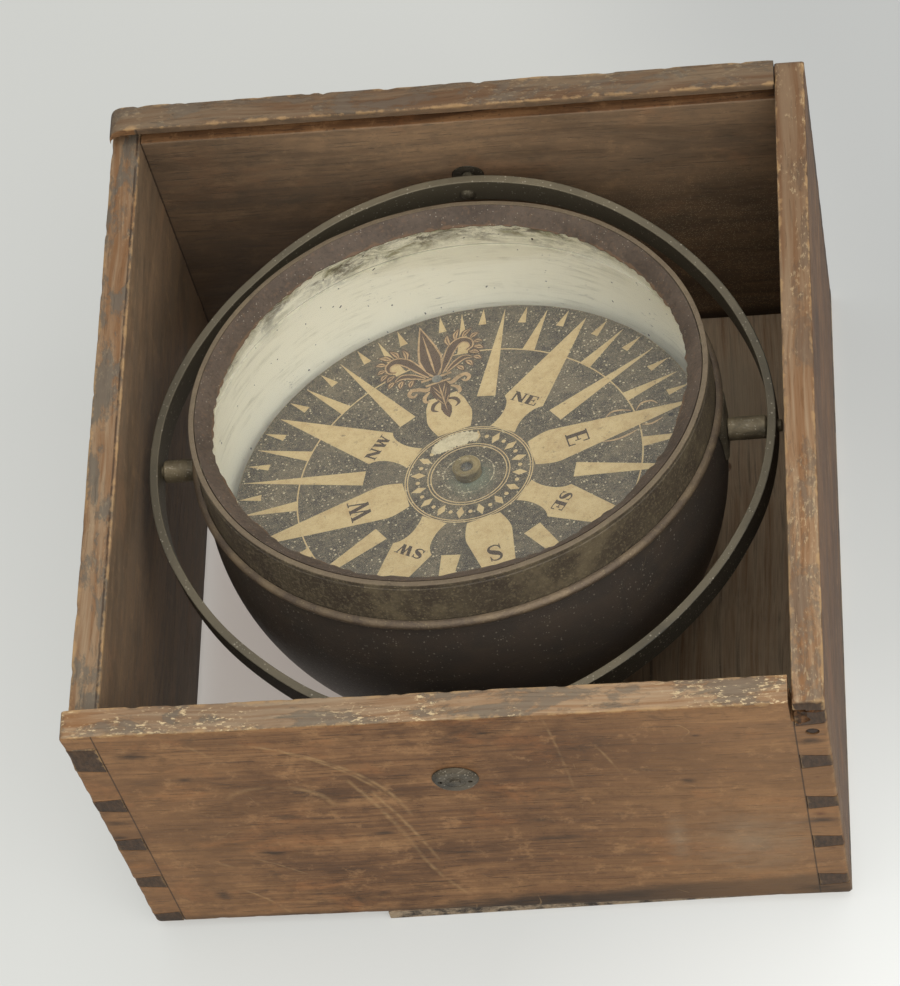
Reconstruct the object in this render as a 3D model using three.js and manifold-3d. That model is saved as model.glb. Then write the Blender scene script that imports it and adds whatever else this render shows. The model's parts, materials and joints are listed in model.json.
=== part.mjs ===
// Dry card compass: a glazed brass bowl with a turning card, hung in a gimbal ring inside a dovetailed box.
// Millimetres, +Z up, X to the right, Y to the back. The origin lies under the middle of the box.
import * as THREE from 'three';
import { mergeVertices } from 'three/addons/utils/BufferGeometryUtils.js';
import Module from 'manifold-3d';

const wasm = await Module();
wasm.setup();

// Fits
const FIT = 0.3;
const CUT_MARGIN = 1;

// Box
const BOX_WIDTH = 286;
const BOX_DEPTH = 289;
const WALL_THICKNESS = 12;
const WALL_ABOVE_AXIS = 49.1;
const BOTTOM_THICKNESS = 7;
const BOTTOM_LENGTH = 189;
const BOTTOM_SETBACK = 4;
const LID_LIP = 4.3;
const LID_GROOVE_HEIGHT = 6.6;
const LID_GROOVE_DEPTH = 5.5;

// Dovetails
const TOP_PIN_HEIGHT = 17.5;
const PIN_HEIGHT = 8;
const SMALLEST_PIN = 3;
const SMALLEST_TAIL = 5;
const TAIL_HEIGHT = 28;
const DOVETAIL_SLOPE = 1 / 7;

// Nails
const NAIL_RADIUS = 1.1;
const NAIL_HEAD_RADIUS = 2.6;
const NAIL_HEAD_HEIGHT = 1.2;
const NAIL_RECESS = 0.2;
const NAIL_POINT = 3;
const BOTTOM_NAIL_LENGTH = 24;
const CORNER_NAIL_LENGTH = 30;
const CORNER_NAIL_DROP = 7;
const BOTTOM_NAIL_INSET = 28;

// Bearings
const BUSH_RADIUS = 6.5;
const BUSH_END_WALL = 1.5;
const FLANGE_RADIUS = 9;
const FLANGE_HEIGHT = 2;
const FLANGE_BEVEL = 1.4;
const BOSS_RADIUS = 2.2;
const BOSS_HEIGHT = 0.6;
const SPANNER_HOLE_RADIUS = 0.9;
const SPANNER_HOLE_DEPTH = 1.2;
const SPANNER_HOLE_SPREAD = 5.8;

// Gimbal ring and its pins
const RING_CLEARANCE = 6.4;
const RING_THICKNESS = 3.5;
const RING_STRETCH = 1.7;
const RING_ABOVE = 8.5;
const RING_BELOW = 4.5;
const RIVET_HEAD_RADIUS = 3.2;
const RIVET_HEAD_HEIGHT = 1.6;
const RIVET_CROWN_RADIUS = 1.8;
const RIVET_EDGE = 0.5;
const PIN_SHANK_RADIUS = 2.2;
const PIN_SHOULDER_RADIUS = 2.7;
const PIN_JOURNAL_RADIUS = 2.1;
const PIN_END_PLAY = 0.6;

// Bowl
const BOWL_GAP = 16.3;
const BOWL_FLOOR_CLEARANCE = 8.3;
const SHELL_DROP = 9.4;
const SHELL_WALL = 1.6;
const COLLAR_BASE = 14.3;
const COLLAR_HEIGHT = 23.6;
const COLLAR_STEP = 1.45;
const COLLAR_TAPER = 0.36;
const COLLAR_WALL = 2.2;
const BEAD_HALF_HEIGHT = 2;
const BEAD_BULGE = 2.5;
const GLASS_DEPTH = 6.1;
const GLASS_THICKNESS = 2.5;
const SEAT_WIDTH = 2.4;
const SEAT_HEIGHT = 4;
const PUTTY_WIDTH = 6.6;
const PUTTY_EDGE = 0.4;
const LUG_THICKNESS = 1.6;
const LUG_WIDTH = 18;
const LUG_HEIGHT = 22;
const TRUNNION_RADIUS = 4.65;
const TRUNNION_CHAMFER = 0.6;
const TRUNNION_PLAY = 0.9;
const SPIGOT_RADIUS = 2.5;
const SPIGOT_END = 1.6;

// Weight and pivot inside the bowl
const BALLAST_HEIGHT = 12.6;
const STUD_RADIUS = 3;
const POST_FLANGE_RADIUS = 9;
const POST_FLANGE_HEIGHT = 3;
const POST_FOOT_RADIUS = 4.5;
const POST_TOP_WALL = 1.1;
const NEEDLE_RADIUS = 1.2;
const NEEDLE_REACH = 14;
const NEEDLE_SOCKET = 8;
const NEEDLE_TAPER = 6;
const NEEDLE_TIP_RADIUS = 0.15;

// Card, cap and magnet
const CARD_CLEARANCE = 3.7;
const CARD_DROP = 15.5;
const CARD_THICKNESS = 0.8;
const TIP_ABOVE_CARD = 3.5;
const CAP_TUBE_RADIUS = 4.6;
const CAP_TUBE_WALL = 1;
const CAP_FLANGE = 1.2;
const CAP_FLANGE_HEIGHT = 2.2;
const CAP_TOP_WALL = 2.5;
const CAP_HEIGHT = 6;
const JEWEL_RADIUS = 2.6;
const JEWEL_LEDGE = 0.7;
const JEWEL_DEPTH = 2;
const JEWEL_RISE = 0.9;
const JEWEL_STEM = 2.7;
const JEWEL_STEM_WALL = 0.7;
const NUT_WALL = 2.6;
const NUT_HEIGHT = 2;
const MAGNET_MARGIN = 12;
const MAGNET_WIDTH = 10;
const MAGNET_THICKNESS = 1.8;
const CARD_RIVET_INSET = 25.9;
const CARD_RIVET_RADIUS = 1.2;
const CARD_RIVET_HEAD_RADIUS = 2.2;
const CARD_RIVET_HEAD_HEIGHT = 0.6;

// Rest pose, in degrees
const GIMBAL_TILT = -1.9;
const BOWL_TILT = -12.2;
const CARD_TILT_X = -2;
const CARD_TILT_Y = -3.5;
const CARD_TURN = 16.7;

// Facets
const LARGE_SIDES = 60;
const SMALL_SIDES = 20;
const NAIL_SIDES = 10;
const SHELL_STEPS = 13;
const BALLAST_STEPS = 5;
const BEAD_STEPS = 5;
const DOME_STEPS = 4;

// Derived sizes of the box and gimbal
const halfWidth = BOX_WIDTH / 2;
const halfDepth = BOX_DEPTH / 2;
const innerWidth = halfWidth - WALL_THICKNESS;
const innerDepth = halfDepth - WALL_THICKNESS;
const ringOuter = Math.min(innerWidth, innerDepth) - RING_CLEARANCE;
const ringInner = ringOuter - RING_THICKNESS;
const pivotOuter = ringOuter + RING_STRETCH;
const pivotInner = ringInner + RING_STRETCH;
const shellRadius = ringInner - BOWL_GAP;
const axisHeight = BOTTOM_THICKNESS + BOWL_FLOOR_CLEARANCE + shellRadius + SHELL_DROP;
const wallFoot = BOTTOM_THICKNESS;
const wallTop = axisHeight + WALL_ABOVE_AXIS;
const grooveTop = wallTop - LID_LIP;
const grooveFoot = grooveTop - LID_GROOVE_HEIGHT;

// Derived sizes of the bowl, measured from the gimbal axis
const shellInner = shellRadius - SHELL_WALL;
const chordShrink = Math.cos(Math.PI / 3 / SHELL_STEPS);
const shellTop = COLLAR_BASE - FIT;
const shellTopRadius = Math.sqrt(shellRadius ** 2 - (shellTop + SHELL_DROP) ** 2);
const collarOuterBase = shellTopRadius + COLLAR_STEP;
const collarOuterTop = collarOuterBase - COLLAR_TAPER;
const collarInner = collarOuterTop - COLLAR_WALL;
const collarTop = COLLAR_BASE + COLLAR_HEIGHT;
const glassTop = collarTop - GLASS_DEPTH;
const glassFoot = glassTop - GLASS_THICKNESS;
const bowlBottom = -SHELL_DROP - shellInner;
const ballastTop = bowlBottom + BALLAST_HEIGHT;
const lugTop = COLLAR_BASE - FIT;
const lugFace = shellRadius + LUG_THICKNESS;
const cardRadius = collarInner - CARD_CLEARANCE;
const tipHeight = -CARD_DROP + TIP_ABOVE_CARD;

const WOOD = { color: 0x7a5638, roughness: 0.75, metalness: 0 };
const PAINT = { color: 0x54463f, roughness: 0.6, metalness: 0.2 };
const BRASS = { color: 0x6f6850, roughness: 0.5, metalness: 0.8 };
const IRON = { color: 0x4a3a30, roughness: 0.8, metalness: 0.6 };
const GLASS = { color: 0xe6ece8, roughness: 0.05, metalness: 0 };
const PAPER = { color: 0x6c665a, roughness: 0.9, metalness: 0 };
const STEEL = { color: 0x60646a, roughness: 0.4, metalness: 0.9 };
const LEAD = { color: 0x5a5c60, roughness: 0.7, metalness: 0.5 };

// A closed mesh: shared corners merged, collapsed triangles dropped, faces turned outwards.
function closed(geometry) {
  const bare = geometry.clone();
  bare.deleteAttribute('normal');
  bare.deleteAttribute('uv');
  const merged = mergeVertices(bare);
  const position = merged.getAttribute('position');
  const source = merged.getIndex().array;
  const corners = [0, 1, 2].map(() => new THREE.Vector3());
  const kept = [];
  let volume = 0;
  for (let i = 0; i < source.length; i += 3) {
    const [a, b, c] = source.slice(i, i + 3);
    if (a === b || b === c || c === a) continue;
    corners.forEach((corner, k) => corner.fromBufferAttribute(position, source[i + k]));
    volume += corners[0].dot(corners[1].cross(corners[2]));
    kept.push([a, b, c]);
  }
  const outward = volume > 0 ? kept : kept.map(([a, b, c]) => [a, c, b]);
  merged.setIndex(outward.flat());
  return merged;
}

function solid(geometry) {
  const shell = closed(geometry);
  const vertProperties = new Float32Array(shell.getAttribute('position').array);
  const triVerts = new Uint32Array(shell.getIndex().array);
  return new wasm.Manifold(new wasm.Mesh({ numProp: 3, vertProperties, triVerts }));
}

function geometryOf(manifold) {
  const mesh = manifold.getMesh();
  const geometry = new THREE.BufferGeometry();
  geometry.setAttribute('position', new THREE.BufferAttribute(new Float32Array(mesh.vertProperties), 3));
  geometry.setIndex(Array.from(mesh.triVerts));
  return geometry;
}

function named(name, geometry, finish) {
  const finished = closed(geometry);
  finished.computeVertexNormals();
  const mesh = new THREE.Mesh(finished, new THREE.MeshStandardMaterial(finish));
  mesh.name = name;
  return mesh;
}

// A turned piece about its own Y axis, from [radius, height] pairs.
function turned(profile, sides) {
  return new THREE.LatheGeometry(profile.map(([radius, height]) => new THREE.Vector2(radius, height)), sides);
}

// The same piece stood up, so that its axis is Z.
function upright(profile, sides) {
  return turned(profile, sides).rotateX(Math.PI / 2);
}

function looped(profile) {
  return [...profile, profile[0]];
}

function arc(centre, radius, from, to, steps) {
  return Array.from({ length: steps + 1 }, (_, i) => {
    const angle = from + (to - from) * i / steps;
    return [radius * Math.cos(angle), centre + radius * Math.sin(angle)];
  });
}

function block(low, high) {
  const size = high.map((value, i) => value - low[i]);
  const middle = high.map((value, i) => (value + low[i]) / 2);
  return new THREE.BoxGeometry(...size).translate(...middle);
}

// A cylinder along X, Y or Z, from one end to the other along that axis, at a point in the other two.
function rod(axis, radius, from, to, place) {
  const geometry = new THREE.CylinderGeometry(radius, radius, to - from, SMALL_SIDES);
  if (axis === 'x') geometry.rotateZ(Math.PI / 2);
  if (axis === 'z') geometry.rotateX(Math.PI / 2);
  const centre = { x: 0, y: 0, z: 0, ...place, [axis]: (from + to) / 2 };
  return geometry.translate(centre.x, centre.y, centre.z);
}

// A prism along Y whose outline is given in X and Z.
function prismAlongY(outline, from, to) {
  const shape = new THREE.Shape(outline.map(([x, z]) => new THREE.Vector2(x, z)));
  const geometry = new THREE.ExtrudeGeometry(shape, { depth: to - from, bevelEnabled: false });
  return geometry.rotateX(Math.PI / 2).translate(0, to, 0);
}

// Heights of the dovetail pins at the outer end of a side board, as [low, high], from the top down.
// The lowest pin runs down to the foot where too little would be left for a tail below it.
function pinRows(boardTop) {
  const rows = [[boardTop - TOP_PIN_HEIGHT, boardTop]];
  let high = boardTop - TOP_PIN_HEIGHT - TAIL_HEIGHT;
  while (high > wallFoot + SMALLEST_PIN) {
    const low = high - PIN_HEIGHT;
    rows.push([low < wallFoot + SMALLEST_TAIL ? wallFoot : low, high]);
    high -= PIN_HEIGHT + TAIL_HEIGHT;
  }
  return rows;
}

// One pin, narrow at the outer end and wide at the baseline. A socket is the same shape grown by its fit.
function pin(side, [low, high], boardTop, fit, from, to) {
  const flare = WALL_THICKNESS * DOVETAIL_SLOPE;
  const end = side * (halfWidth + (fit > 0 ? CUT_MARGIN : 0));
  const base = side * (innerWidth - fit);
  const wideLow = Math.max(low - flare, wallFoot);
  const wideHigh = Math.min(high + flare, boardTop);
  const outline = [[end, low - fit], [end, high + fit], [base, wideHigh + fit], [base, wideLow - fit]];
  return solid(prismAlongY(outline, from, to));
}

function nailProfile(length, fit) {
  const start = fit > 0 ? -CUT_MARGIN : NAIL_RECESS;
  const head = NAIL_RECESS + NAIL_HEAD_HEIGHT + fit;
  return [
    [0, start],
    [NAIL_HEAD_RADIUS + fit, start],
    [NAIL_HEAD_RADIUS + fit, head],
    [NAIL_RADIUS + fit, head],
    [NAIL_RADIUS + fit, length - NAIL_POINT],
    [0, length + fit],
  ];
}

// Nails: place of the head, the turn that points it, and its length.
const cornerHeight = wallTop - TOP_PIN_HEIGHT - CORNER_NAIL_DROP;
const wallMiddleX = innerWidth + WALL_THICKNESS / 2;
const wallMiddleY = innerDepth + WALL_THICKNESS / 2;
const frontNailY = -innerDepth - (WALL_THICKNESS - BOTTOM_SETBACK) / 2;
const bottomLeft = halfWidth - BOTTOM_LENGTH;
const cornerNails = [
  { name: 'corner_nail_front', place: [wallMiddleX, -halfDepth, cornerHeight], turn: 0 },
  { name: 'corner_nail_back', place: [wallMiddleX, halfDepth, cornerHeight], turn: Math.PI },
].map((nail) => ({ ...nail, length: CORNER_NAIL_LENGTH }));
const bottomNails = [
  { name: 'bottom_nail_front_left', place: [bottomLeft + BOTTOM_NAIL_INSET, frontNailY, 0] },
  { name: 'bottom_nail_front_right', place: [innerWidth - BOTTOM_NAIL_INSET, frontNailY, 0] },
  { name: 'bottom_nail_back_left', place: [bottomLeft + BOTTOM_NAIL_INSET, wallMiddleY, 0] },
  { name: 'bottom_nail_back_right', place: [innerWidth - BOTTOM_NAIL_INSET, wallMiddleY, 0] },
  { name: 'bottom_nail_right_front', place: [wallMiddleX, -innerDepth / 2, 0] },
  { name: 'bottom_nail_right_back', place: [wallMiddleX, innerDepth / 2, 0] },
].map((nail) => ({ ...nail, turn: Math.PI / 2, length: BOTTOM_NAIL_LENGTH }));
const nails = [...cornerNails, ...bottomNails];

function nailGeometry(nail, fit) {
  return turned(nailProfile(nail.length, fit), NAIL_SIDES).rotateX(nail.turn).translate(...nail.place);
}

function withoutNailHoles(board) {
  return nails.reduce((rest, nail) => rest.subtract(solid(nailGeometry(nail, FIT))), board);
}

// Front board (facing -1) or back board (facing 1), which carry the tails.
function tailBoard(facing) {
  const low = facing < 0 ? -halfDepth : innerDepth;
  const high = low + WALL_THICKNESS;
  let board = solid(block([-halfWidth, low, wallFoot], [halfWidth, high, wallTop]));
  for (const [side, top] of [[-1, grooveFoot], [1, wallTop]]) {
    for (const row of pinRows(top)) {
      board = board.subtract(pin(side, row, top, FIT, low - CUT_MARGIN, high + CUT_MARGIN));
    }
  }
  const grooveEdges = [facing * (innerDepth - CUT_MARGIN), facing * (innerDepth + LID_GROOVE_DEPTH)];
  const grooveLow = [-halfWidth - CUT_MARGIN, Math.min(...grooveEdges), grooveFoot];
  const grooveHigh = [halfWidth + CUT_MARGIN, Math.max(...grooveEdges), grooveTop];
  board = board.subtract(solid(block(grooveLow, grooveHigh)));
  const hole = rod('y', BUSH_RADIUS + FIT, low - CUT_MARGIN, high + CUT_MARGIN, { z: axisHeight });
  return geometryOf(withoutNailHoles(board.subtract(solid(hole))));
}

// Left board (side -1) or right board (side 1), which carry the pins.
function pinBoard(side, top, grooved) {
  const low = side < 0 ? -halfWidth : innerWidth;
  const coreEnd = innerDepth - FIT;
  let board = solid(block([low, -coreEnd, wallFoot], [low + WALL_THICKNESS, coreEnd, top]));
  for (const row of pinRows(top)) {
    board = board.add(pin(side, row, top, 0, -halfDepth, -coreEnd + CUT_MARGIN));
    board = board.add(pin(side, row, top, 0, coreEnd - CUT_MARGIN, halfDepth));
  }
  if (grooved) {
    const grooveLow = [innerWidth - CUT_MARGIN, -halfDepth - CUT_MARGIN, grooveFoot];
    const grooveHigh = [innerWidth + LID_GROOVE_DEPTH, halfDepth + CUT_MARGIN, grooveTop];
    board = board.subtract(solid(block(grooveLow, grooveHigh)));
  }
  return geometryOf(withoutNailHoles(board));
}

function bottomBoard() {
  const outline = [
    [bottomLeft, -halfDepth],
    [halfWidth, -halfDepth + BOTTOM_SETBACK],
    [halfWidth, halfDepth],
    [bottomLeft, halfDepth],
  ].map(([x, y]) => new THREE.Vector2(x, y));
  const options = { depth: BOTTOM_THICKNESS, bevelEnabled: false };
  return geometryOf(withoutNailHoles(solid(new THREE.ExtrudeGeometry(new THREE.Shape(outline), options))));
}

// A blind bush, with its flange outside the board. Its own Y axis points out of the box.
function bearing() {
  const face = FLANGE_HEIGHT;
  const bore = PIN_JOURNAL_RADIUS + FIT;
  const body = solid(turned([
    [0, face + BOSS_HEIGHT],
    [BOSS_RADIUS, face + BOSS_HEIGHT],
    [BOSS_RADIUS, face],
    [FLANGE_RADIUS - FLANGE_BEVEL, face],
    [FLANGE_RADIUS, face - FLANGE_BEVEL],
    [FLANGE_RADIUS, 0],
    [BUSH_RADIUS, 0],
    [BUSH_RADIUS, -WALL_THICKNESS],
    [bore, -WALL_THICKNESS],
    [bore, -BUSH_END_WALL],
    [0, -BUSH_END_WALL],
  ], SMALL_SIDES));
  const holes = [-SPANNER_HOLE_SPREAD, SPANNER_HOLE_SPREAD].map((x) => (
    solid(rod('y', SPANNER_HOLE_RADIUS, face - SPANNER_HOLE_DEPTH, face + CUT_MARGIN, { x }))
  ));
  return geometryOf(holes.reduce((rest, hole) => rest.subtract(hole), body));
}

// A hoop about Z whose radius grows towards X and Y and shrinks between them.
function drawnOut(geometry, stretch) {
  const position = geometry.getAttribute('position');
  for (let i = 0; i < position.count; i += 1) {
    const x = position.getX(i);
    const y = position.getY(i);
    const scale = 1 + stretch * Math.cos(4 * Math.atan2(y, x)) / Math.hypot(x, y);
    position.setXY(i, x * scale, y * scale);
  }
  return geometry;
}

// The ring is a little out of round, drawn out to its four pivots.
function gimbalRing() {
  const profile = looped([
    [ringInner, -RING_BELOW],
    [ringOuter, -RING_BELOW],
    [ringOuter, RING_ABOVE],
    [ringInner, RING_ABOVE],
  ]);
  const hoop = solid(drawnOut(upright(profile, LARGE_SIDES), RING_STRETCH));
  const reach = pivotOuter + CUT_MARGIN;
  const pinHole = solid(rod('y', PIN_SHANK_RADIUS + FIT, -reach, reach, {}));
  const spigotHole = solid(rod('x', SPIGOT_RADIUS + FIT, -reach, reach, {}));
  return geometryOf(hoop.subtract(pinHole).subtract(spigotHole));
}

// A riveted pin: head inside the ring, shoulder outside it, journal in the bearing. Its Y axis points out.
function gimbalPin() {
  const headTop = pivotInner - FIT;
  const shoulder = pivotOuter + FIT;
  const journal = innerDepth - PIN_END_PLAY;
  const end = halfDepth - BUSH_END_WALL - PIN_END_PLAY;
  return turned([
    [0, headTop - RIVET_HEAD_HEIGHT],
    [RIVET_CROWN_RADIUS, headTop - RIVET_HEAD_HEIGHT],
    [RIVET_HEAD_RADIUS, headTop - RIVET_EDGE],
    [RIVET_HEAD_RADIUS, headTop],
    [PIN_SHANK_RADIUS, headTop],
    [PIN_SHANK_RADIUS, shoulder],
    [PIN_SHOULDER_RADIUS, shoulder],
    [PIN_SHOULDER_RADIUS, journal],
    [PIN_JOURNAL_RADIUS, journal],
    [PIN_JOURNAL_RADIUS, end],
    [0, end],
  ], SMALL_SIDES);
}

// The outside of the round body below the collar, from its bottom up.
function shellArc(radius, fromRadius, toHeight, steps) {
  const start = -Math.acos(fromRadius / radius);
  const end = Math.asin((toHeight + SHELL_DROP) / radius);
  return arc(-SHELL_DROP, radius, start, end, steps);
}

function bowlShell() {
  const outside = shellArc(shellRadius, 0, shellTop, SHELL_STEPS);
  const inside = shellArc(shellInner, 0, shellTop, SHELL_STEPS).reverse();
  return upright([...outside, ...inside], LARGE_SIDES);
}

function bowlCollar() {
  return upright(looped([
    [collarInner, COLLAR_BASE],
    [collarOuterBase, COLLAR_BASE],
    [collarOuterTop, collarTop],
    [collarInner, collarTop],
  ]), LARGE_SIDES);
}

// Half-round moulding over the joint of body and collar.
function beadRing() {
  const inner = collarOuterBase + FIT;
  const middle = COLLAR_BASE + BEAD_HALF_HEIGHT;
  const outline = Array.from({ length: BEAD_STEPS + 1 }, (_, i) => {
    const angle = Math.PI * (i / BEAD_STEPS - 0.5);
    return [inner + BEAD_BULGE * Math.cos(angle), middle + BEAD_HALF_HEIGHT * Math.sin(angle)];
  });
  return upright(looped(outline), LARGE_SIDES);
}

function hoopOf(inner, outer, low, high) {
  return upright(looped([[inner, low], [outer, low], [outer, high], [inner, high]]), LARGE_SIDES);
}

function glassSeat() {
  const outer = collarInner - FIT;
  const top = glassFoot - FIT;
  return hoopOf(outer - SEAT_WIDTH, outer, top - SEAT_HEIGHT, top);
}

function glassPane() {
  const radius = collarInner - FIT;
  return upright([[0, glassFoot], [radius, glassFoot], [radius, glassTop], [0, glassTop]], LARGE_SIDES);
}

// The sloping fillet of putty from the top of the collar down to the glass.
function puttyBezel() {
  const outer = collarInner - FIT;
  const foot = glassTop + FIT;
  return upright(looped([
    [outer - PUTTY_WIDTH, foot],
    [outer, foot],
    [outer, collarTop],
    [outer - PUTTY_WIDTH, foot + PUTTY_EDGE],
  ]), LARGE_SIDES);
}

// A plate that fits the round body and carries a trunnion, on the right of the bowl.
function lug() {
  const body = shellArc(shellRadius / chordShrink + FIT, 0, lugTop + CUT_MARGIN, SHELL_STEPS);
  const core = solid(upright([...body, [0, lugTop + CUT_MARGIN]], LARGE_SIDES));
  const low = [shellRadius / 2, -LUG_WIDTH / 2, lugTop - LUG_HEIGHT];
  return geometryOf(solid(block(low, [lugFace, LUG_WIDTH / 2, lugTop])).subtract(core));
}

// A pivot from the lug to the ring. Its own Y axis points outwards.
function trunnion() {
  const root = lugFace + FIT;
  const shoulder = pivotInner - TRUNNION_PLAY;
  const end = pivotOuter + SPIGOT_END;
  return turned([
    [0, root],
    [TRUNNION_RADIUS, root],
    [TRUNNION_RADIUS, shoulder - TRUNNION_CHAMFER],
    [TRUNNION_RADIUS - TRUNNION_CHAMFER, shoulder],
    [SPIGOT_RADIUS, shoulder],
    [SPIGOT_RADIUS, end],
    [0, end],
  ], SMALL_SIDES);
}

function ballastWeight() {
  const bore = STUD_RADIUS + FIT;
  const underside = shellArc(shellInner * chordShrink - FIT, bore, ballastTop, BALLAST_STEPS);
  return upright(looped([...underside, [bore, ballastTop]]), LARGE_SIDES);
}

function pivotPost() {
  const studFoot = bowlBottom + 2 * FIT;
  const flangeFoot = ballastTop + FIT;
  const flangeTop = flangeFoot + POST_FLANGE_HEIGHT;
  const top = tipHeight - NEEDLE_REACH;
  const socket = NEEDLE_RADIUS + FIT;
  return upright([
    [0, studFoot],
    [STUD_RADIUS, studFoot],
    [STUD_RADIUS, flangeFoot],
    [POST_FLANGE_RADIUS, flangeFoot],
    [POST_FLANGE_RADIUS, flangeTop],
    [POST_FOOT_RADIUS, flangeTop],
    [socket + POST_TOP_WALL, top],
    [socket, top],
    [socket, top - NEEDLE_SOCKET],
    [0, top - NEEDLE_SOCKET],
  ], SMALL_SIDES);
}

function pivotNeedle() {
  const foot = tipHeight - NEEDLE_REACH - NEEDLE_SOCKET + FIT;
  return upright([
    [0, foot],
    [NEEDLE_RADIUS, foot],
    [NEEDLE_RADIUS, tipHeight - NEEDLE_TAPER],
    [NEEDLE_TIP_RADIUS, tipHeight],
    [0, tipHeight],
  ], SMALL_SIDES);
}

// Heights on the card, measured from the tip of the needle.
const cardTop = -TIP_ABOVE_CARD;
const cardFoot = cardTop - CARD_THICKNESS;
const magnetTop = cardFoot - FIT;
const magnetFoot = magnetTop - MAGNET_THICKNESS;
const nutTop = magnetFoot - FIT;
const nutFoot = nutTop - NUT_HEIGHT;
const capFoot = cardTop + FIT;
const capTop = cardTop + CAP_HEIGHT;
const jewelSeat = capTop - JEWEL_DEPTH;
const jewelStemRadius = JEWEL_RADIUS - JEWEL_LEDGE;
const magnetReach = cardRadius - MAGNET_MARGIN;
const cardRivetPlace = magnetReach - CARD_RIVET_INSET;

function circle(shape, x, y, radius) {
  return shape.absarc(x, y, radius, 0, 2 * Math.PI);
}

// A flat plate with a hole for the cap and two for the rivets on the north and south line.
function drilledPlate(shape, low, high, curveSegments) {
  shape.holes.push(circle(new THREE.Path(), 0, 0, CAP_TUBE_RADIUS + FIT));
  for (const y of [-cardRivetPlace, cardRivetPlace]) {
    shape.holes.push(circle(new THREE.Path(), 0, y, CARD_RIVET_RADIUS + FIT));
  }
  const options = { depth: high - low, bevelEnabled: false, curveSegments };
  return new THREE.ExtrudeGeometry(shape, options).translate(0, 0, low);
}

function cardDisc() {
  return drilledPlate(circle(new THREE.Shape(), 0, 0, cardRadius), cardFoot, cardTop, LARGE_SIDES / 2);
}

// A flat steel bar along the north and south line, with round ends.
function magnetNeedle() {
  const half = MAGNET_WIDTH / 2;
  const straight = magnetReach - half;
  const shape = new THREE.Shape();
  shape.moveTo(half, -straight);
  shape.absarc(0, straight, half, 0, Math.PI);
  shape.absarc(0, -straight, half, Math.PI, 2 * Math.PI);
  return drilledPlate(shape, magnetFoot, magnetTop, SMALL_SIDES / 2);
}

// The brass cap: a tube through the card, a flange on it and a top that holds the jewel.
function cardCap() {
  const stemBore = jewelStemRadius + FIT;
  const jewelBore = JEWEL_RADIUS + FIT;
  const flange = CAP_TUBE_RADIUS + CAP_FLANGE;
  return upright(looped([
    [CAP_TUBE_RADIUS - CAP_TUBE_WALL, nutFoot],
    [CAP_TUBE_RADIUS, nutFoot],
    [CAP_TUBE_RADIUS, capFoot],
    [flange, capFoot],
    [flange, capFoot + CAP_FLANGE_HEIGHT],
    [jewelBore + CAP_TOP_WALL, capTop],
    [jewelBore, capTop],
    [jewelBore, jewelSeat],
    [stemBore, jewelSeat],
    [stemBore, jewelSeat - JEWEL_STEM],
  ]), SMALL_SIDES);
}

// The jewel: a domed stone whose stem has the cone that rides on the needle.
function capJewel() {
  const seat = jewelSeat + FIT;
  const rim = capTop;
  const foot = seat - JEWEL_STEM;
  const dome = Array.from({ length: DOME_STEPS + 1 }, (_, i) => {
    const angle = Math.PI / 2 * i / DOME_STEPS;
    return [JEWEL_RADIUS * Math.cos(angle), rim + JEWEL_RISE * Math.sin(angle)];
  });
  return upright([
    [0, FIT],
    [jewelStemRadius - JEWEL_STEM_WALL, foot],
    [jewelStemRadius, foot],
    [jewelStemRadius, seat],
    [JEWEL_RADIUS, seat],
    ...dome,
  ], SMALL_SIDES);
}

function capNut() {
  const bore = CAP_TUBE_RADIUS + FIT;
  const outer = bore + NUT_WALL;
  return upright(looped([[bore, nutFoot], [outer, nutFoot], [outer, nutTop], [bore, nutTop]]), SMALL_SIDES);
}

// A rivet through card and magnet, headed on both faces.
function cardRivet() {
  const top = cardTop + FIT;
  const foot = magnetFoot - FIT;
  return upright([
    [0, foot - CARD_RIVET_HEAD_HEIGHT],
    [CARD_RIVET_HEAD_RADIUS, foot - CARD_RIVET_HEAD_HEIGHT],
    [CARD_RIVET_HEAD_RADIUS, foot],
    [CARD_RIVET_RADIUS, foot],
    [CARD_RIVET_RADIUS, top],
    [CARD_RIVET_HEAD_RADIUS, top],
    [CARD_RIVET_HEAD_RADIUS, top + CARD_RIVET_HEAD_HEIGHT],
    [0, top + CARD_RIVET_HEAD_HEIGHT],
  ], NAIL_SIDES);
}

const { degToRad } = THREE.MathUtils;

function card() {
  const group = new THREE.Group();
  group.position.set(0, 0, tipHeight);
  group.rotation.set(degToRad(CARD_TILT_X), degToRad(CARD_TILT_Y), degToRad(CARD_TURN), 'YXZ');
  group.add(
    named('card_disc', cardDisc(), PAPER),
    named('magnet_needle', magnetNeedle(), STEEL),
    named('card_cap', cardCap(), BRASS),
    named('cap_jewel', capJewel(), GLASS),
    named('cap_nut', capNut(), BRASS),
    named('card_rivet_north', cardRivet().translate(0, cardRivetPlace, 0), BRASS),
    named('card_rivet_south', cardRivet().translate(0, -cardRivetPlace, 0), BRASS),
  );
  return group;
}

function bowl() {
  const group = new THREE.Group();
  group.rotation.x = degToRad(BOWL_TILT);
  group.add(
    named('bowl_shell', bowlShell(), PAINT),
    named('bowl_collar', bowlCollar(), PAINT),
    named('bead_ring', beadRing(), BRASS),
    named('glass_seat', glassSeat(), BRASS),
    named('glass', glassPane(), GLASS),
    named('putty_bezel', puttyBezel(), PAINT),
    named('lug_right', lug(), BRASS),
    named('lug_left', lug().rotateZ(Math.PI), BRASS),
    named('trunnion_right', trunnion().rotateZ(-Math.PI / 2), BRASS),
    named('trunnion_left', trunnion().rotateZ(Math.PI / 2), BRASS),
    named('ballast_weight', ballastWeight(), LEAD),
    named('pivot_post', pivotPost(), BRASS),
    named('pivot_needle', pivotNeedle(), STEEL),
    card(),
  );
  return group;
}

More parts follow.
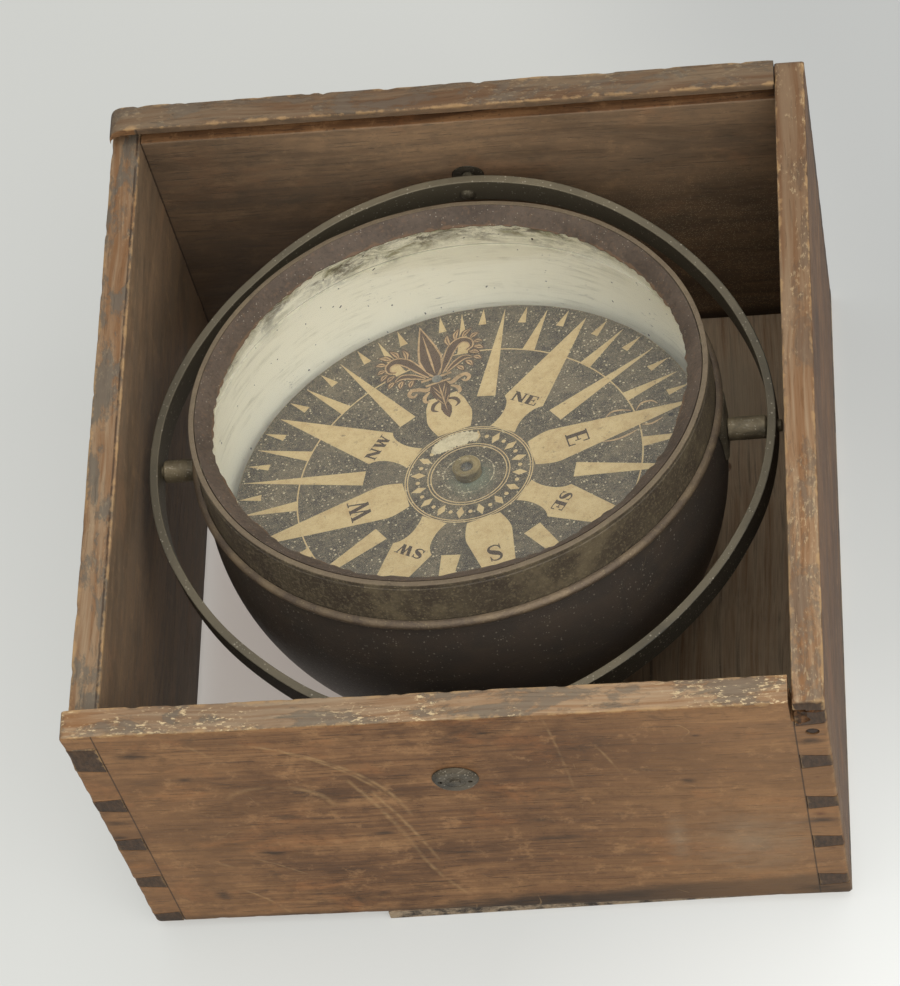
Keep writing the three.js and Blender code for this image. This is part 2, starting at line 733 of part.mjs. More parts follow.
function gimbal() {
  const group = new THREE.Group();
  group.position.set(0, 0, axisHeight);
  group.rotation.y = degToRad(GIMBAL_TILT);
  group.add(
    named('gimbal_ring', gimbalRing(), BRASS),
    named('gimbal_pin_back', gimbalPin(), BRASS),
    named('gimbal_pin_front', gimbalPin().rotateX(Math.PI), BRASS),
    bowl(),
  );
  return group;
}

function box() {
  const group = new THREE.Group();
  group.add(
    named('front_board', tailBoard(-1), WOOD),
    named('back_board', tailBoard(1), WOOD),
    named('left_board', pinBoard(-1, grooveFoot, false), WOOD),
    named('right_board', pinBoard(1, wallTop, true), WOOD),
    named('bottom_board', bottomBoard(), WOOD),
    named('back_bearing', bearing().translate(0, halfDepth, axisHeight), BRASS),
    named('front_bearing', bearing().rotateX(Math.PI).translate(0, -halfDepth, axisHeight), BRASS),
  );
  for (const nail of nails) {
    group.add(named(nail.name, nailGeometry(nail, 0), IRON));
  }
  return group;
}

const compass = new THREE.Group();
compass.add(box(), gimbal());

export default compass;
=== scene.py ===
"""Looks of a dry card compass: a worn dovetailed box, a gimbal ring, a glazed bowl and its turning card.

Shapes are worked out with numpy in millimetres, in the frame of the body they ride on.
They are set down in metres.
"""

import functools
import json
import math

import bpy
import numpy as np
from bpy.props import FloatProperty, FloatVectorProperty, PointerProperty
from bpy.types import Operator, Panel, PropertyGroup
from mathutils import Matrix, Vector


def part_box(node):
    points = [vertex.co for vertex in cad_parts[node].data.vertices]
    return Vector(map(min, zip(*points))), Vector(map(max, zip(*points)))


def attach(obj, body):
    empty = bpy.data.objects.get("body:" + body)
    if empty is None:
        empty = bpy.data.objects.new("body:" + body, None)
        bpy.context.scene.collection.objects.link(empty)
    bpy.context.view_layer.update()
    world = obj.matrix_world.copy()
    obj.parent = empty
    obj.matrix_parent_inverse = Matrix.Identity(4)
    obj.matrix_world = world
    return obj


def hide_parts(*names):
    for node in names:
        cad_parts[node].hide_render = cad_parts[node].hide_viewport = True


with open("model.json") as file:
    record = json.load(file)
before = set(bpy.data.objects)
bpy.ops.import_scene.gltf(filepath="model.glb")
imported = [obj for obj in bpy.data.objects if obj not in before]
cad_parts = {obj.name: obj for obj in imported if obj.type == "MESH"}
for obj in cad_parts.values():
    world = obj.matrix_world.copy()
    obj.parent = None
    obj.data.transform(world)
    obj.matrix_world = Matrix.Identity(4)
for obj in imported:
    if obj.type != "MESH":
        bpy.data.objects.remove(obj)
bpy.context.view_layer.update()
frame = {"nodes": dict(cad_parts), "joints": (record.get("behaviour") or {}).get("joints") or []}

bl_info = {
    "name": "Dry Card Compass",
    "version": (1, 0, 0),
    "blender": (4, 5, 0),
    "location": "View3D > Sidebar > Compass",
    "description": "Dresses the packed compass with worn wood, old brass, painted putty and a printed card",
    "category": "Add Mesh",
}

MM = 0.001
JOINTS = {joint["name"]: joint for joint in frame["joints"]}


def span(node):
    """Lowest and highest corner of a CAD node, in millimetres."""
    low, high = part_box(node)
    return np.array(low) / MM, np.array(high) / MM


# Sizes read from the frame, in millimetres
WALL_LOW, FRONT_HIGH = span("front_board")
LEFT_TOP = span("left_board")[1][2]
HALF_WIDTH, HALF_DEPTH = -WALL_LOW[0], -WALL_LOW[1]
WALL_FOOT, WALL_TOP = WALL_LOW[2], FRONT_HIGH[2]
WALL = FRONT_HIGH[1] - WALL_LOW[1]
INNER_WIDTH, INNER_DEPTH = HALF_WIDTH - WALL, HALF_DEPTH - WALL
AXIS_HEIGHT = JOINTS["gimbal_swing"]["pos_m"][2] / MM
FLOOR_LOW, FLOOR_HIGH = span("bottom_board")

# Box details
GROOVE_FOOT = LEFT_TOP
GROOVE_TOP = WALL_TOP - 4.3
GROOVE_DEPTH = 5.5
JOINT_GAP = 0.28
FLARE = WALL / 7
LEFT_PINS = ((150.2, 167.7), (114.2, 122.2), (78.2, 86.2), (42.2, 50.2), (7.0, 14.2))
RIGHT_PINS = ((161.1, 178.6), (125.1, 133.1), (89.1, 97.1), (53.1, 61.1), (17.1, 25.1))
BUSH_RADIUS = 6.5
FLOOR_SLANT, FLOOR_RUN = 4.0, 289

# Gimbal ring and pins, from the gimbal axis
RING_OUTER, RING_INNER, RING_STRETCH = 124.6, 121.1, 1.7
RING_LOW, RING_HIGH = -4.5, 8.5
PIVOT_OUTER, PIVOT_INNER = RING_OUTER + RING_STRETCH, RING_INNER + RING_STRETCH
PIN_HOLE, TRUNNION_HOLE = 2.5, 2.8

# Bowl, heights from the gimbal axis
SHELL_RADIUS, SHELL_CENTRE, SHELL_WALL, SHELL_TOP = 104.8, -9.4, 1.6, 14.0
COLLAR_LOW, COLLAR_HIGH = 14.3, 37.9
COLLAR_FOOT_RADIUS, COLLAR_TOP_RADIUS, COLLAR_INNER = 103.6, 103.24, 101.04
GLASS_LOW, GLASS_HIGH, GLASS_RADIUS = 29.3, 31.8, 100.74
PUTTY_INNER, PUTTY_FOOT = 94.14, 32.1
LUG_FACE, LUG_HALF_WIDTH, LUG_LOW, LUG_HIGH = 106.4, 9.0, -8.0, 14.0

# Card, heights from the tip of the needle
TIP_HEIGHT = -12.0
CARD_TOP, CARD_THICK, CARD_RADIUS = -3.5, 0.8, 97.34
CARD_BORE, CAP_TRACE, RIVET_PLACE = 4.9, 10.4, 59.44

# Sides of the round pieces, and the angle in degrees from which an edge is shaded sharp
ROD_SIDES, NAIL_SIDES, RING_SIDES = 32, 40, 288
SHELL_SIDES, COLLAR_SIDES, PUTTY_SIDES, CARD_SIDES = 224, 256, 320, 288
SHARP_ANGLE = 34


def turn(axis, degrees):
    """A 4 x 4 rotation about one axis."""
    return np.array(Matrix.Rotation(math.radians(degrees), 4, axis.upper()))


def shift(x, y, z):
    return np.array(Matrix.Translation((x, y, z)))


BOX = np.eye(4)
GIMBAL = shift(0, 0, AXIS_HEIGHT) @ turn("y", -1.9)
BOWL = GIMBAL @ turn("x", -12.2)
CARD = BOWL @ shift(0, 0, TIP_HEIGHT) @ turn("y", -3.5) @ turn("x", -2) @ turn("z", 16.7)
TOWARDS = {
    "+x": turn("y", 90), "+y": turn("x", -90), "-y": turn("x", 90), "+z": np.eye(4),
}


# Settings

def shade(red, green, blue):
    """A colour given as screen values from 0 to 255, on Blender's linear scale."""
    part = np.array((red, green, blue)) / 255
    linear = np.where(part <= 0.04045, part / 12.92, ((part + 0.055) / 1.055) ** 2.4)
    return tuple(float(value) for value in linear)


def colour(name, description, *screen):
    return FloatVectorProperty(
        name=name, description=description, subtype="COLOR", size=3, min=0, max=1, default=shade(*screen)
    )


def amount(name, description, default, **settings):
    return FloatProperty(name=name, description=description, default=default, min=0, **settings)


def length(name, description, millimetres):
    return amount(name, description, millimetres * MM, unit="LENGTH")


class BoxLooks(PropertyGroup):
    """Wood and nails of the box."""

    dark: colour("Dark Grain", "Dark streaks of the boards", 84, 58, 38)
    middle: colour("Middle Grain", "Main colour of the boards", 129, 93, 61)
    light: colour("Light Grain", "Pale streaks of the boards", 158, 119, 80)
    bare: colour("Bare Wood", "Wood laid bare along the edges", 176, 142, 98)
    fleck: colour("Fleck", "Pale flecks on the front edge", 222, 198, 154)
    warm: colour("Warm Patch", "Reddish patches in the varnish", 150, 100, 60)
    edge: colour("Top Edge", "Rubbed wood of the top edges", 161, 139, 111)
    slate: colour("Slate Paint", "Grey paint left on the top edges", 90, 88, 80)
    end_grain: colour("End Grain", "Ends of the dovetail pins", 76, 59, 45)
    # Also used as painted shade: inside the box, along its foot and on the outer faces of the left and right
    # boards
    grime_and_shade: colour("Grime", "Dirt in the box and along its foot", 50, 41, 34)
    floor: colour("Floor", "Bare bottom board", 178, 154, 124)
    rust: colour("Rust", "Nail heads", 88, 56, 38)
    dust: colour("Dust", "Grey dust inside the box", 152, 137, 114)
    corner: length("Worn Corner", "How far the upright corners are rounded", 1.5)
    arris: length("Worn Arris", "Mean rounding along the top edges", 1.1)


class BowlLooks(PropertyGroup):
    """Metal, paint, putty and glass of the gimbal and bowl."""

    brass_dark: colour("Dark Patina", "Deep tone of the fittings", 58, 53, 43)
    brass_light: colour("Light Patina", "Worn tone of the fittings", 108, 99, 80)
    ring_dark: colour("Ring Dark", "Sides of the gimbal ring", 54, 51, 42)
    ring_light: colour("Ring Light", "Rubbed top of the gimbal ring", 120, 110, 88)
    shell: colour("Body Paint", "Dark paint of the round body", 60, 54, 48)
    shell_warm: colour("Body Warm", "Brown cast in that paint", 70, 60, 51)
    white: colour("Inside Paint", "Old white paint inside the bowl", 246, 241, 220)
    stain: colour("Inside Stain", "Greenish stain in that paint", 132, 126, 84)
    collar: colour("Collar Paint", "Olive brown of the collar", 84, 74, 57)
    collar_speck: colour("Collar Speck", "Tan specks on the collar", 142, 127, 96)
    bead: colour("Bead", "Tan metal of the bead", 124, 107, 84)
    putty: colour("Putty", "Painted putty round the glass", 90, 77, 65)
    putty_dark: colour("Putty Dark", "Dirt in the putty", 60, 50, 41)
    putty_edge: colour("Putty Edge", "Bare ragged edge of the putty", 108, 84, 62)
    dust: colour("Dust", "Pale dust and specks", 190, 180, 160)
    ragged: length("Ragged Edge", "How far the putty's inner edge wanders", 0.5)


class CardLooks(PropertyGroup):
    """Printing on the card."""

    ground: colour("Ground", "Faded black of the card", 56, 50, 40)
    ground_light: colour("Ground Light", "Rubbed places of the ground", 130, 117, 94)
    cream: colour("Cream", "Points and rings", 194, 172, 127)
    cream_dark: colour("Cream Dark", "Foxing in the cream", 162, 132, 86)
    ink: colour("Ink", "Letters", 66, 52, 38)
    tan: colour("Ornament Tan", "Leaves of the north mark", 186, 156, 114)
    brown: colour("Ornament Brown", "Middle and outlines of the north mark", 90, 70, 52)
    bare: colour("Bare Paper", "Paper where the print is rubbed off", 200, 187, 154)
    verdigris: colour("Verdigris", "Green salts round the cap", 106, 118, 100)
    print_height: length("Print Height", "How far the print stands up from the card", 0.05)


class StageLooks(PropertyGroup):
    """Floor and lights of the studio."""

    floor: colour("Floor", "Pale floor", 224, 225, 221)
    sky: colour("Surround", "Pale surround seen by the camera and in reflections", 214, 215, 212)
    glow: amount("Floor Glow", "Share of even glow in the floor", 0.6, max=1)
    ambient: amount("Ambient", "Strength of the even light", 0.68)
    key: amount("Key Light", "Power of the large front light", 12, unit="POWER")
    top: amount("Top Light", "Power of the overhead light", 16, unit="POWER")


# Shapes

def grid_faces(rows, columns, round_rows=False, round_columns=False):
    """Quads between neighbouring rows and columns of a grid, joined round where asked."""
    row = np.arange(rows if round_rows else rows - 1)
    column = np.arange(columns if round_columns else columns - 1)
    a, b = np.meshgrid(row, column, indexing="ij")
    c, d = (a + 1) % rows, (b + 1) % columns
    return np.stack([a * columns + b, c * columns + b, c * columns + d, a * columns + d], -1).reshape(-1, 4)


def outward(points, faces):
    """Turns every face round where the enclosed volume, summed over fans of triangles, comes out negative."""
    volume = 0.0
    for block in faces:
        first = points[block[:, 0]]
        for k in range(1, block.shape[1] - 1):
            cross = np.cross(points[block[:, k]], points[block[:, k + 1]])
            volume += np.einsum("ij,ij->", first, cross)
    return points, faces if volume > 0 else [block[:, ::-1] for block in faces]


def swept(rings, looped=False):
    """A closed skin over cross-sections, given as stations x corners x 3, with a flat cap on each end."""
    stations, corners = rings.shape[:2]
    faces = [grid_faces(stations, corners, looped, True)]
    if not looped:
        ring = np.arange(corners)[None]
        faces += [ring, ring[:, ::-1] + (stations - 1) * corners]
    return outward(rings.reshape(-1, 3), faces)


def round_angles(sides):
    """Angles of evenly spaced sides round a circle."""
    return np.linspace(0, 2 * np.pi, sides, endpoint=False)


def directions(angles):
    """Unit steps (X, Y) towards each angle."""
    return np.stack([np.cos(angles), np.sin(angles)], -1)


def around(profile, sides):
    """A profile repeated at every side, rows x sides x 2, so that it can change round the axis."""
    return np.repeat(np.asarray(profile, float)[:, None], sides, axis=1)


def turned(profile, sides=96):
    """A profile of (radius, height) carried round the Z axis.

    The profile is rows x 2, or rows x sides x 2 where it changes round the axis. A profile that starts on the
    axis is closed by a pole at each end; any other is a loop and gives a hoop.
    """
    profile = np.asarray(profile, float)
    if profile.ndim == 2:
        profile = around(profile, sides)
    sides = profile.shape[1]
    angle = round_angles(sides)
    radius, height = profile[..., 0], profile[..., 1]
    points = np.stack([radius * np.cos(angle), radius * np.sin(angle), height], -1)
    if radius[0].max() > 1e-9:
        return swept(points, looped=True)
    rows = len(points) - 2
    rings = points[1:-1].reshape(-1, 3)
    poles = points[[0, -1], 0]
    here = np.arange(sides)
    after = (here + 1) % sides
    last = (rows - 1) * sides
    faces = [
        grid_faces(rows, sides, False, True),
        np.stack([np.full(sides, rows * sides), here, after], -1),
        np.stack([np.full(sides, rows * sides + 1), last + after, last + here], -1),
    ]
    return outward(np.concatenate([rings, poles]), faces)


def joined(parts):
    """Several (points, faces) pairs as one."""
    starts = np.cumsum([0] + [len(points) for points, _ in parts])
    faces = [block + start for (_, blocks), start in zip(parts, starts) for block in blocks]
    return np.concatenate([points for points, _ in parts]), faces


def moved(part, place):
    points, faces = part
    return points @ place[:3, :3].T + place[:3, 3], faces


def ripple(where, seed, smallest, largest, waves=14):
    """A smooth random line of about -1 to 1: sines with random wavelengths and phases, added up."""
    rng = np.random.default_rng(seed)
    lengths = np.exp(rng.uniform(np.log(smallest), np.log(largest), waves))
    phases = rng.uniform(0, 2 * np.pi, waves)
    return np.sin(2 * np.pi * np.asarray(where)[..., None] / lengths + phases).sum(-1) / math.sqrt(waves)


def round_ripple(sides, seed, lowest, highest, waves=14):
    """The same round a circle: whole numbers of waves from lowest to highest, so that it meets itself."""
    rng = np.random.default_rng(seed)
    counts = rng.integers(lowest, highest + 1, waves)
    phases = rng.uniform(0, 2 * np.pi, waves)
    return np.sin(round_angles(sides)[:, None] * counts + phases).sum(-1) / math.sqrt(waves)


def arc(centre, radius, start, end, steps):
    """Points on a circle, from one angle to another in degrees."""
    return np.array(centre) + radius * directions(np.radians(np.linspace(start, end, steps)))


def softened(profile, radius, steps=4):
    """A looped profile with each corner cut by a small curve (a quadratic between its two edges).

    One more point on each edge, just before and after the curve, keeps flat faces flat when shaded smooth.
    """
    profile = np.asarray(profile, float)
    before, after = np.roll(profile, 1, 0) - profile, np.roll(profile, -1, 0) - profile
    reach = np.minimum(np.linalg.norm(before, axis=1), np.linalg.norm(after, axis=1)) * 0.36
    cut = np.minimum(np.broadcast_to(np.asarray(radius, float), reach.shape), reach)[:, None]
    back = before / np.maximum(np.linalg.norm(before, axis=1, keepdims=True), 1e-9) * cut
    ahead = after / np.maximum(np.linalg.norm(after, axis=1, keepdims=True), 1e-9) * cut
    t = np.linspace(0, 1, steps)[None, :, None]
    middle = profile[:, None]
    start, end = middle + back[:, None], middle + ahead[:, None]
    curve = (1 - t) ** 2 * start + 2 * t * (1 - t) * middle + t**2 * end
    curve = np.concatenate([middle + 1.3 * back[:, None], curve, middle + 1.3 * ahead[:, None]], 1)
    return curve.reshape(-1, 2)


def turned_solid(profile, radius, sides=64, steps=4):
    """A turned solid with softened corners, from a profile whose two ends stay on the axis."""
    inner = softened(profile, radius, steps).reshape(len(profile), -1, 2)[1:-1].reshape(-1, 2)
    return turned(np.concatenate([[profile[0]], inner, [profile[-1]]]), sides)


def prism(outline, low, high):
    """A flat outline given in X and Z, carried along Y from low to high."""
    return swept(np.stack([np.insert(np.asarray(outline, float), 1, end, axis=1) for end in (low, high)]))


def mesh_object(name, part, place=BOX):
    """One mesh object at the origin, with its place in its mesh."""
    points, faces = moved(part, place)
    mesh = bpy.data.meshes.new(name)
    mesh.from_pydata((points * MM).tolist(), [], [face for block in faces for face in block.tolist()])
    piece = bpy.data.objects.new(name, mesh)
    bpy.context.scene.collection.objects.link(piece)
    return piece


def cut(piece, cutters):
    """Takes the cutters, one joined skin, out of a piece with a Boolean, and keeps the result as its mesh."""
    cutter = mesh_object("cutter", joined(cutters))
    modifier = piece.modifiers.new("Cut", "BOOLEAN")
    modifier.operation, modifier.solver, modifier.object = "DIFFERENCE", "EXACT", cutter
    whole = piece.data
    result = piece.evaluated_get(bpy.context.evaluated_depsgraph_get())
    piece.data = bpy.data.meshes.new_from_object(result)
    piece.modifiers.clear()
    bpy.data.meshes.remove(whole)
    bpy.data.meshes.remove(cutter.data)
    if not piece.data.polygons:
        raise RuntimeError(f"{piece.name} was cut away")


def finish(piece, material, body, nodes=()):
    """Shades a piece, gives it its finish, ties it to its body and hides the nodes it stands for."""
    piece.data.shade_smooth()
    piece.data.set_sharp_from_angle(angle=math.radians(SHARP_ANGLE))
    piece.data.materials.clear()
    piece.data.materials.append(material)
    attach(piece, body)
    if nodes:
        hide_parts(*nodes)


# Node helpers

class Nodes:
    """Adds nodes to a tree. Each call gives back the new output, to feed the next one."""

    def __init__(self, tree):
        self.tree = tree

    def add(self, kind, inputs=(), **settings):
        node = self.tree.nodes.new(kind)
        count = len(self.tree.nodes)
        node.location = (190 * (count // 6), -170 * (count % 6))
        for key, value in settings.items():
            setattr(node, key, value)
        for key, value in dict(inputs).items():
            self.feed(node.inputs[key], value)
        return node

    def feed(self, socket, value):
        if isinstance(value, bpy.types.NodeSocket):
            self.tree.links.new(value, socket)
        elif socket.type == "RGBA" and len(value) == 3:
            socket.default_value = (*value, 1)
        else:
            socket.default_value = value

    def math(self, operation, *values, clamp=False):
        return self.add("ShaderNodeMath", enumerate(values), operation=operation, use_clamp=clamp).outputs[0]

    def chain(self, operation, values):
        """One operation carried through several values, from the first to the last."""
        return functools.reduce(lambda total, value: self.math(operation, total, value), values)

    def times(self, *values):
        return self.chain("MULTIPLY", values)

    def plus(self, *values):
        return self.chain("ADD", values)

    def minus(self, *values):
        return self.chain("SUBTRACT", values)

    def most(self, *values):
        return self.chain("MAXIMUM", values)

    def least(self, *values):
        return self.chain("MINIMUM", values)

    def size(self, value):
        return self.math("ABSOLUTE", value)

    def graded(self, value, slope, base):
        """A value times a slope, plus a base."""
        return self.math("MULTIPLY_ADD", value, slope, base)

    def vector(self, operation, *values):
        node = self.add("ShaderNodeVectorMath", enumerate(values), operation=operation)
        return node.outputs["Value" if operation in ("LENGTH", "DISTANCE", "DOT_PRODUCT") else "Vector"]

    def parts(self, vector):
        return self.add("ShaderNodeSeparateXYZ", {0: vector}).outputs[:3]

    def radius(self, at):
        """Distance from the upright axis."""
        return self.vector("LENGTH", self.vector("MULTIPLY", at, (1.0, 1.0, 0.0)))

    def mix(self, share, first, second):
        settings = {0: share, 6: first, 7: second}
        return self.add("ShaderNodeMix", settings, data_type="RGBA", blend_type="MIX").outputs[2]

    def layers(self, base, *coats):
        """A colour under coats: each coat is a colour, then masks and shares whose product is its cover."""
        for tone, *cover in coats:
            base = self.mix(self.times(*cover), base, tone)
        return base

    def noise(self, at, scale, detail=4.0, rough=0.55, warp=0.0):
        """Noise whose scale is one number, or three for a pattern stretched along an axis."""
        if not np.isscalar(scale):
            at, scale = self.vector("MULTIPLY", at, scale), 1.0
        settings = {"Vector": at, "Scale": scale, "Detail": detail, "Roughness": rough, "Distortion": warp}
        return self.add("ShaderNodeTexNoise", settings).outputs[0]

    def step(self, value, low, high):
        """A soft step from 0 at low to 1 at high; low may be the greater of the two."""
        rising = {"Value": value, "From Min": min(low, high), "From Max": max(low, high)}
        ends = {"To Min": float(low > high), "To Max": float(low < high)}
        return self.add("ShaderNodeMapRange", {**rising, **ends}, interpolation_type="SMOOTHSTEP").outputs[0]

    def ramp(self, value, *stops):
        node = self.add("ShaderNodeValToRGB", {0: value})
        elements = node.color_ramp.elements
        for place, _ in stops[1:-1]:
            elements.new(place)
        for element, (place, tone) in zip(elements, stops):
            element.position = place
            element.color = (*tone, 1)
        return node.outputs[0]

    def group(self, name, **inputs):
        node = self.add("ShaderNodeGroup", node_tree=bpy.data.node_groups[name])
        for key, value in inputs.items():
            self.feed(node.inputs[key], value)
        return node.outputs

    def specks(self, at, scale, amount):
        return self.group("Specks", Vector=at, Scale=scale, Amount=amount)[0]

    def scuffs(self, at, scale):
        return self.group("Scuffs", Vector=at, Scale=scale)[0]

    def spot(self, at, centre, radii, ragged, core):
        """A ragged spot, its place and half sizes in millimetres."""
        sizes = {"Centre": metres(*centre), "Radii": metres(*radii), "Ragged": ragged, "Core": core}
        return self.group("Spot", Position=at, **sizes)[0]

    def seen(self):
        """One for what the camera sees by itself, in a reflection or through glass."""
        rays = self.add("ShaderNodeLightPath").outputs
        return self.most(*(rays[f"Is {kind} Ray"] for kind in ("Camera", "Glossy", "Transmission")))


def new_group(name, inputs, outputs):
    """An empty shader group with named sockets.

    Gives its nodes, its inputs and a function that feeds an output.
    """
    tree = bpy.data.node_groups.new(name, "ShaderNodeTree")
    for label, (kind, default) in inputs.items():
        socket = tree.interface.new_socket(label, in_out="INPUT", socket_type=f"NodeSocket{kind}")
        if default is not None:
            socket.default_value = default
    for label in outputs:
        tree.interface.new_socket(label, in_out="OUTPUT", socket_type="NodeSocketFloat")
    nodes = Nodes(tree)
    source = nodes.add("NodeGroupInput").outputs
    target = nodes.add("NodeGroupOutput").inputs
    return nodes, source, lambda label, value: nodes.feed(target[label], value)


def build_groups():
    """The effects that several finishes share. All lengths are in metres on Object coordinates."""
    place, number = ("Vector", None), "Float"

    # Grain along X: long streaks, fine fibres and short dark pores, bent by a slow waver
    n, source, out = new_group(
        "Wood Grain", {"Vector": place, "Seed": (number, 0.0)}, ("Figure", "Fibre", "Pore")
    )
    at = n.vector("ADD", source["Vector"], n.vector("MULTIPLY", (0.37, 0.61, 0.83), source["Seed"]))
    waver = n.add("ShaderNodeTexNoise", {"Vector": at, "Scale": 9.0, "Detail": 2.0}).outputs["Color"]
    waver = n.vector("MULTIPLY", n.vector("SUBTRACT", waver, (0.5, 0.5, 0.5)), (0.0, 0.012, 0.012))
    at = n.vector("ADD", at, waver)
    broad = n.noise(at, (4.0, 70.0, 70.0), 4.0, 0.55, 0.5)
    streak = n.noise(at, (11.0, 430.0, 430.0), 5.0, 0.62)
    out("Figure", n.step(n.plus(n.times(broad, 0.42), n.times(streak, 0.58)), 0.22, 0.78))
    out("Fibre", n.noise(at, (70.0, 2400.0, 2400.0), 2.0))
    out("Pore", n.step(n.noise(at, (55.0, 1000.0, 1000.0), 3.0), 0.6, 0.68))

    # Wear where two faces of a box meet: the second smallest distance to its faces, broken up by noise
    corners = {"Low": place, "High": place, "Width": (number, 0.0015)}
    n, source, out = new_group("Worn Edge", {"Position": place, **corners}, ("Wear",))
    from_low = n.vector("SUBTRACT", source["Position"], source["Low"])
    from_high = n.vector("SUBTRACT", source["High"], source["Position"])
    gaps = n.parts(n.vector("MINIMUM", from_low, from_high))
    second = n.minus(n.plus(*gaps), n.least(*gaps), n.most(*gaps))
    uneven = n.step(n.noise(source["Position"], 130.0, 4.0, 0.65), 0.38, 0.72)
    reach = n.times(source["Width"], n.graded(uneven, 2.2, 0.15))
    out("Wear", n.math("SUBTRACT", 1.0, n.math("DIVIDE", second, reach, clamp=True), clamp=True))

    # Fine specks: small balls round random points, some left out by chance, gathered in patches
    speck_inputs = {"Vector": place, "Scale": (number, 600.0), "Amount": (number, 0.5)}
    n, source, out = new_group("Specks", speck_inputs, ("Speck",))
    spread = {"Vector": source["Vector"], "Scale": source["Scale"]}
    cells = n.add("ShaderNodeTexVoronoi", spread).outputs
    chance, size, _ = n.parts(cells["Color"])
    patch = n.step(n.noise(source["Vector"], 60.0, 4.0), 0.3, 0.66)
    there = n.math("LESS_THAN", chance, n.times(source["Amount"], n.graded(patch, 0.8, 0.2)))
    dot = n.math("MULTIPLY", n.minus(n.graded(size, 0.3, 0.14), cells["Distance"]), 9.0, clamp=True)
    out("Speck", n.times(there, dot))

    # Old metal: slow cloudy patches, fine grit and thin rubbing marks
    n, source, out = new_group("Patina", {"Vector": place}, ("Cloud", "Grit", "Rub"))
    out("Cloud", n.step(n.noise(source["Vector"], 75.0, 5.0, 0.62, 0.5), 0.32, 0.68))
    out("Grit", n.noise(source["Vector"], 1300.0, 3.0, 0.6))
    out("Rub", n.step(n.noise(source["Vector"], (300.0, 300.0, 2600.0), 3.0), 0.56, 0.74))

    # A mark that follows a circle in X and Z within a window: bright on the line and broken by noise
    arc_inputs = {"Position": place, "Centre": place, "Radius": (number, 0.05), "Width": (number, 0.0005)}
    n, source, out = new_group("Arc Mark", {**arc_inputs, "Low": place, "High": place}, ("Mark",))
    level = n.vector("MULTIPLY", source["Position"], (1.0, 0.0, 1.0))
    away = n.vector("DISTANCE", level, source["Centre"])
    shaky = n.times(n.minus(n.noise(level, 240.0, 3.0), 0.5), 0.0012)
    off = n.size(n.plus(n.minus(away, source["Radius"]), shaky))
    line = n.math("SUBTRACT", 1.0, n.math("DIVIDE", off, source["Width"], clamp=True), clamp=True)
    above = n.parts(n.vector("SUBTRACT", level, source["Low"]))
    below = n.parts(n.vector("SUBTRACT", source["High"], level))
    fade = n.math("MULTIPLY", n.least(above[0], above[2], below[0], below[2]), 160.0, clamp=True)
    out("Mark", n.times(line, fade, n.step(n.noise(level, 150.0, 4.0), 0.3, 0.62)))

    # A spot: one inside an ellipsoid, with a ragged border that fades from its rim in to the share in Core
    spot_inputs = {"Centre": place, "Radii": place, "Ragged": (number, 1.1), "Core": (number, 0.35)}
    n, source, out = new_group("Spot", {"Position": place, **spot_inputs}, ("Mark",))
    local = n.vector("DIVIDE", n.vector("SUBTRACT", source["Position"], source["Centre"]), source["Radii"])
    uneven = n.minus(n.noise(source["Position"], (70.0, 70.0, 190.0), 6.0, 0.66), 0.5)
    away = n.plus(n.vector("LENGTH", local), n.times(uneven, source["Ragged"]))
    fading = {"Value": away, "From Min": source["Core"], "From Max": 1.0, "To Min": 1.0, "To Max": 0.0}
    out("Mark", n.add("ShaderNodeMapRange", fading, interpolation_type="SMOOTHSTEP").outputs[0])

    # Fine random scratches: thin contour lines of slow noise, kept only in patches
    n, source, out = new_group("Scuffs", {"Vector": place, "Scale": (number, 55.0)}, ("Mark",))
    slow = {"Vector": source["Vector"], "Scale": source["Scale"], "Detail": 0.6}
    bent = n.add("ShaderNodeTexNoise", slow).outputs[0]
    line = n.step(n.size(n.minus(bent, 0.5)), 0.008, 0.002)
    out("Mark", n.times(line, n.step(n.noise(source["Vector"], 48.0, 4.0, 0.6), 0.57, 0.7)))


class MaterialNodes(Nodes):
    """The nodes of a new material with one Principled shader, its constants on the shader's own sockets."""

    def __init__(self, name, **constants):
        self.material = bpy.data.materials.new(name)
        self.material.use_nodes = True
        super().__init__(self.material.node_tree)
        self.tree.nodes.clear()
        self.shader = self.add("ShaderNodeBsdfPrincipled")
        self.output = self.add("ShaderNodeOutputMaterial", {"Surface": self.shader.outputs[0]})
        for key, value in constants.items():
            self.feed(self.shader.inputs[key.replace("_", " ")], value)
        where = self.add("ShaderNodeTexCoord").outputs
        self.at, self.normal = where["Object"], where["Normal"]

    def within(self, place):
        """Object coordinates seen from a body's own frame, in metres."""
        turn_by = Matrix(place[:3, :3].tolist()).to_euler("XYZ")
        settings = {"Vector": self.at, "Location": tuple(place[:3, 3] * MM), "Rotation": tuple(turn_by)}
        return self.add("ShaderNodeMapping", settings, vector_type="TEXTURE").outputs[0]

    def crosswise(self):
        """Object coordinates turned a quarter, for grain that runs from front to back."""
        return self.add("ShaderNodeMapping", {0: self.at, 2: (0, 0, math.pi / 2)}).outputs[0]

    def blend(self, share, other):
        """Puts another shader over the surface by a share."""
        both = {0: share, 1: self.shader.outputs[0], 2: other.outputs[0]}
        self.feed(self.output.inputs["Surface"], self.add("ShaderNodeMixShader", both).outputs[0])

    def done(self, base=None, rough=None, height=None, depth=0.0):
        """Feeds what changes over the surface. height goes through a Bump node of a depth in metres."""
        bump = None
        if height is not None:
            settings = {"Height": height, "Distance": depth, "Strength": 1.0}
            bump = self.add("ShaderNodeBump", settings).outputs[0]
        for key, value in (("Base Color", base), ("Roughness", rough), ("Normal", bump)):
            if value is not None:
                self.feed(self.shader.inputs[key], value)
        return self.material


def metres(*millimetres):
    return tuple(value * MM for value in millimetres)


# Box

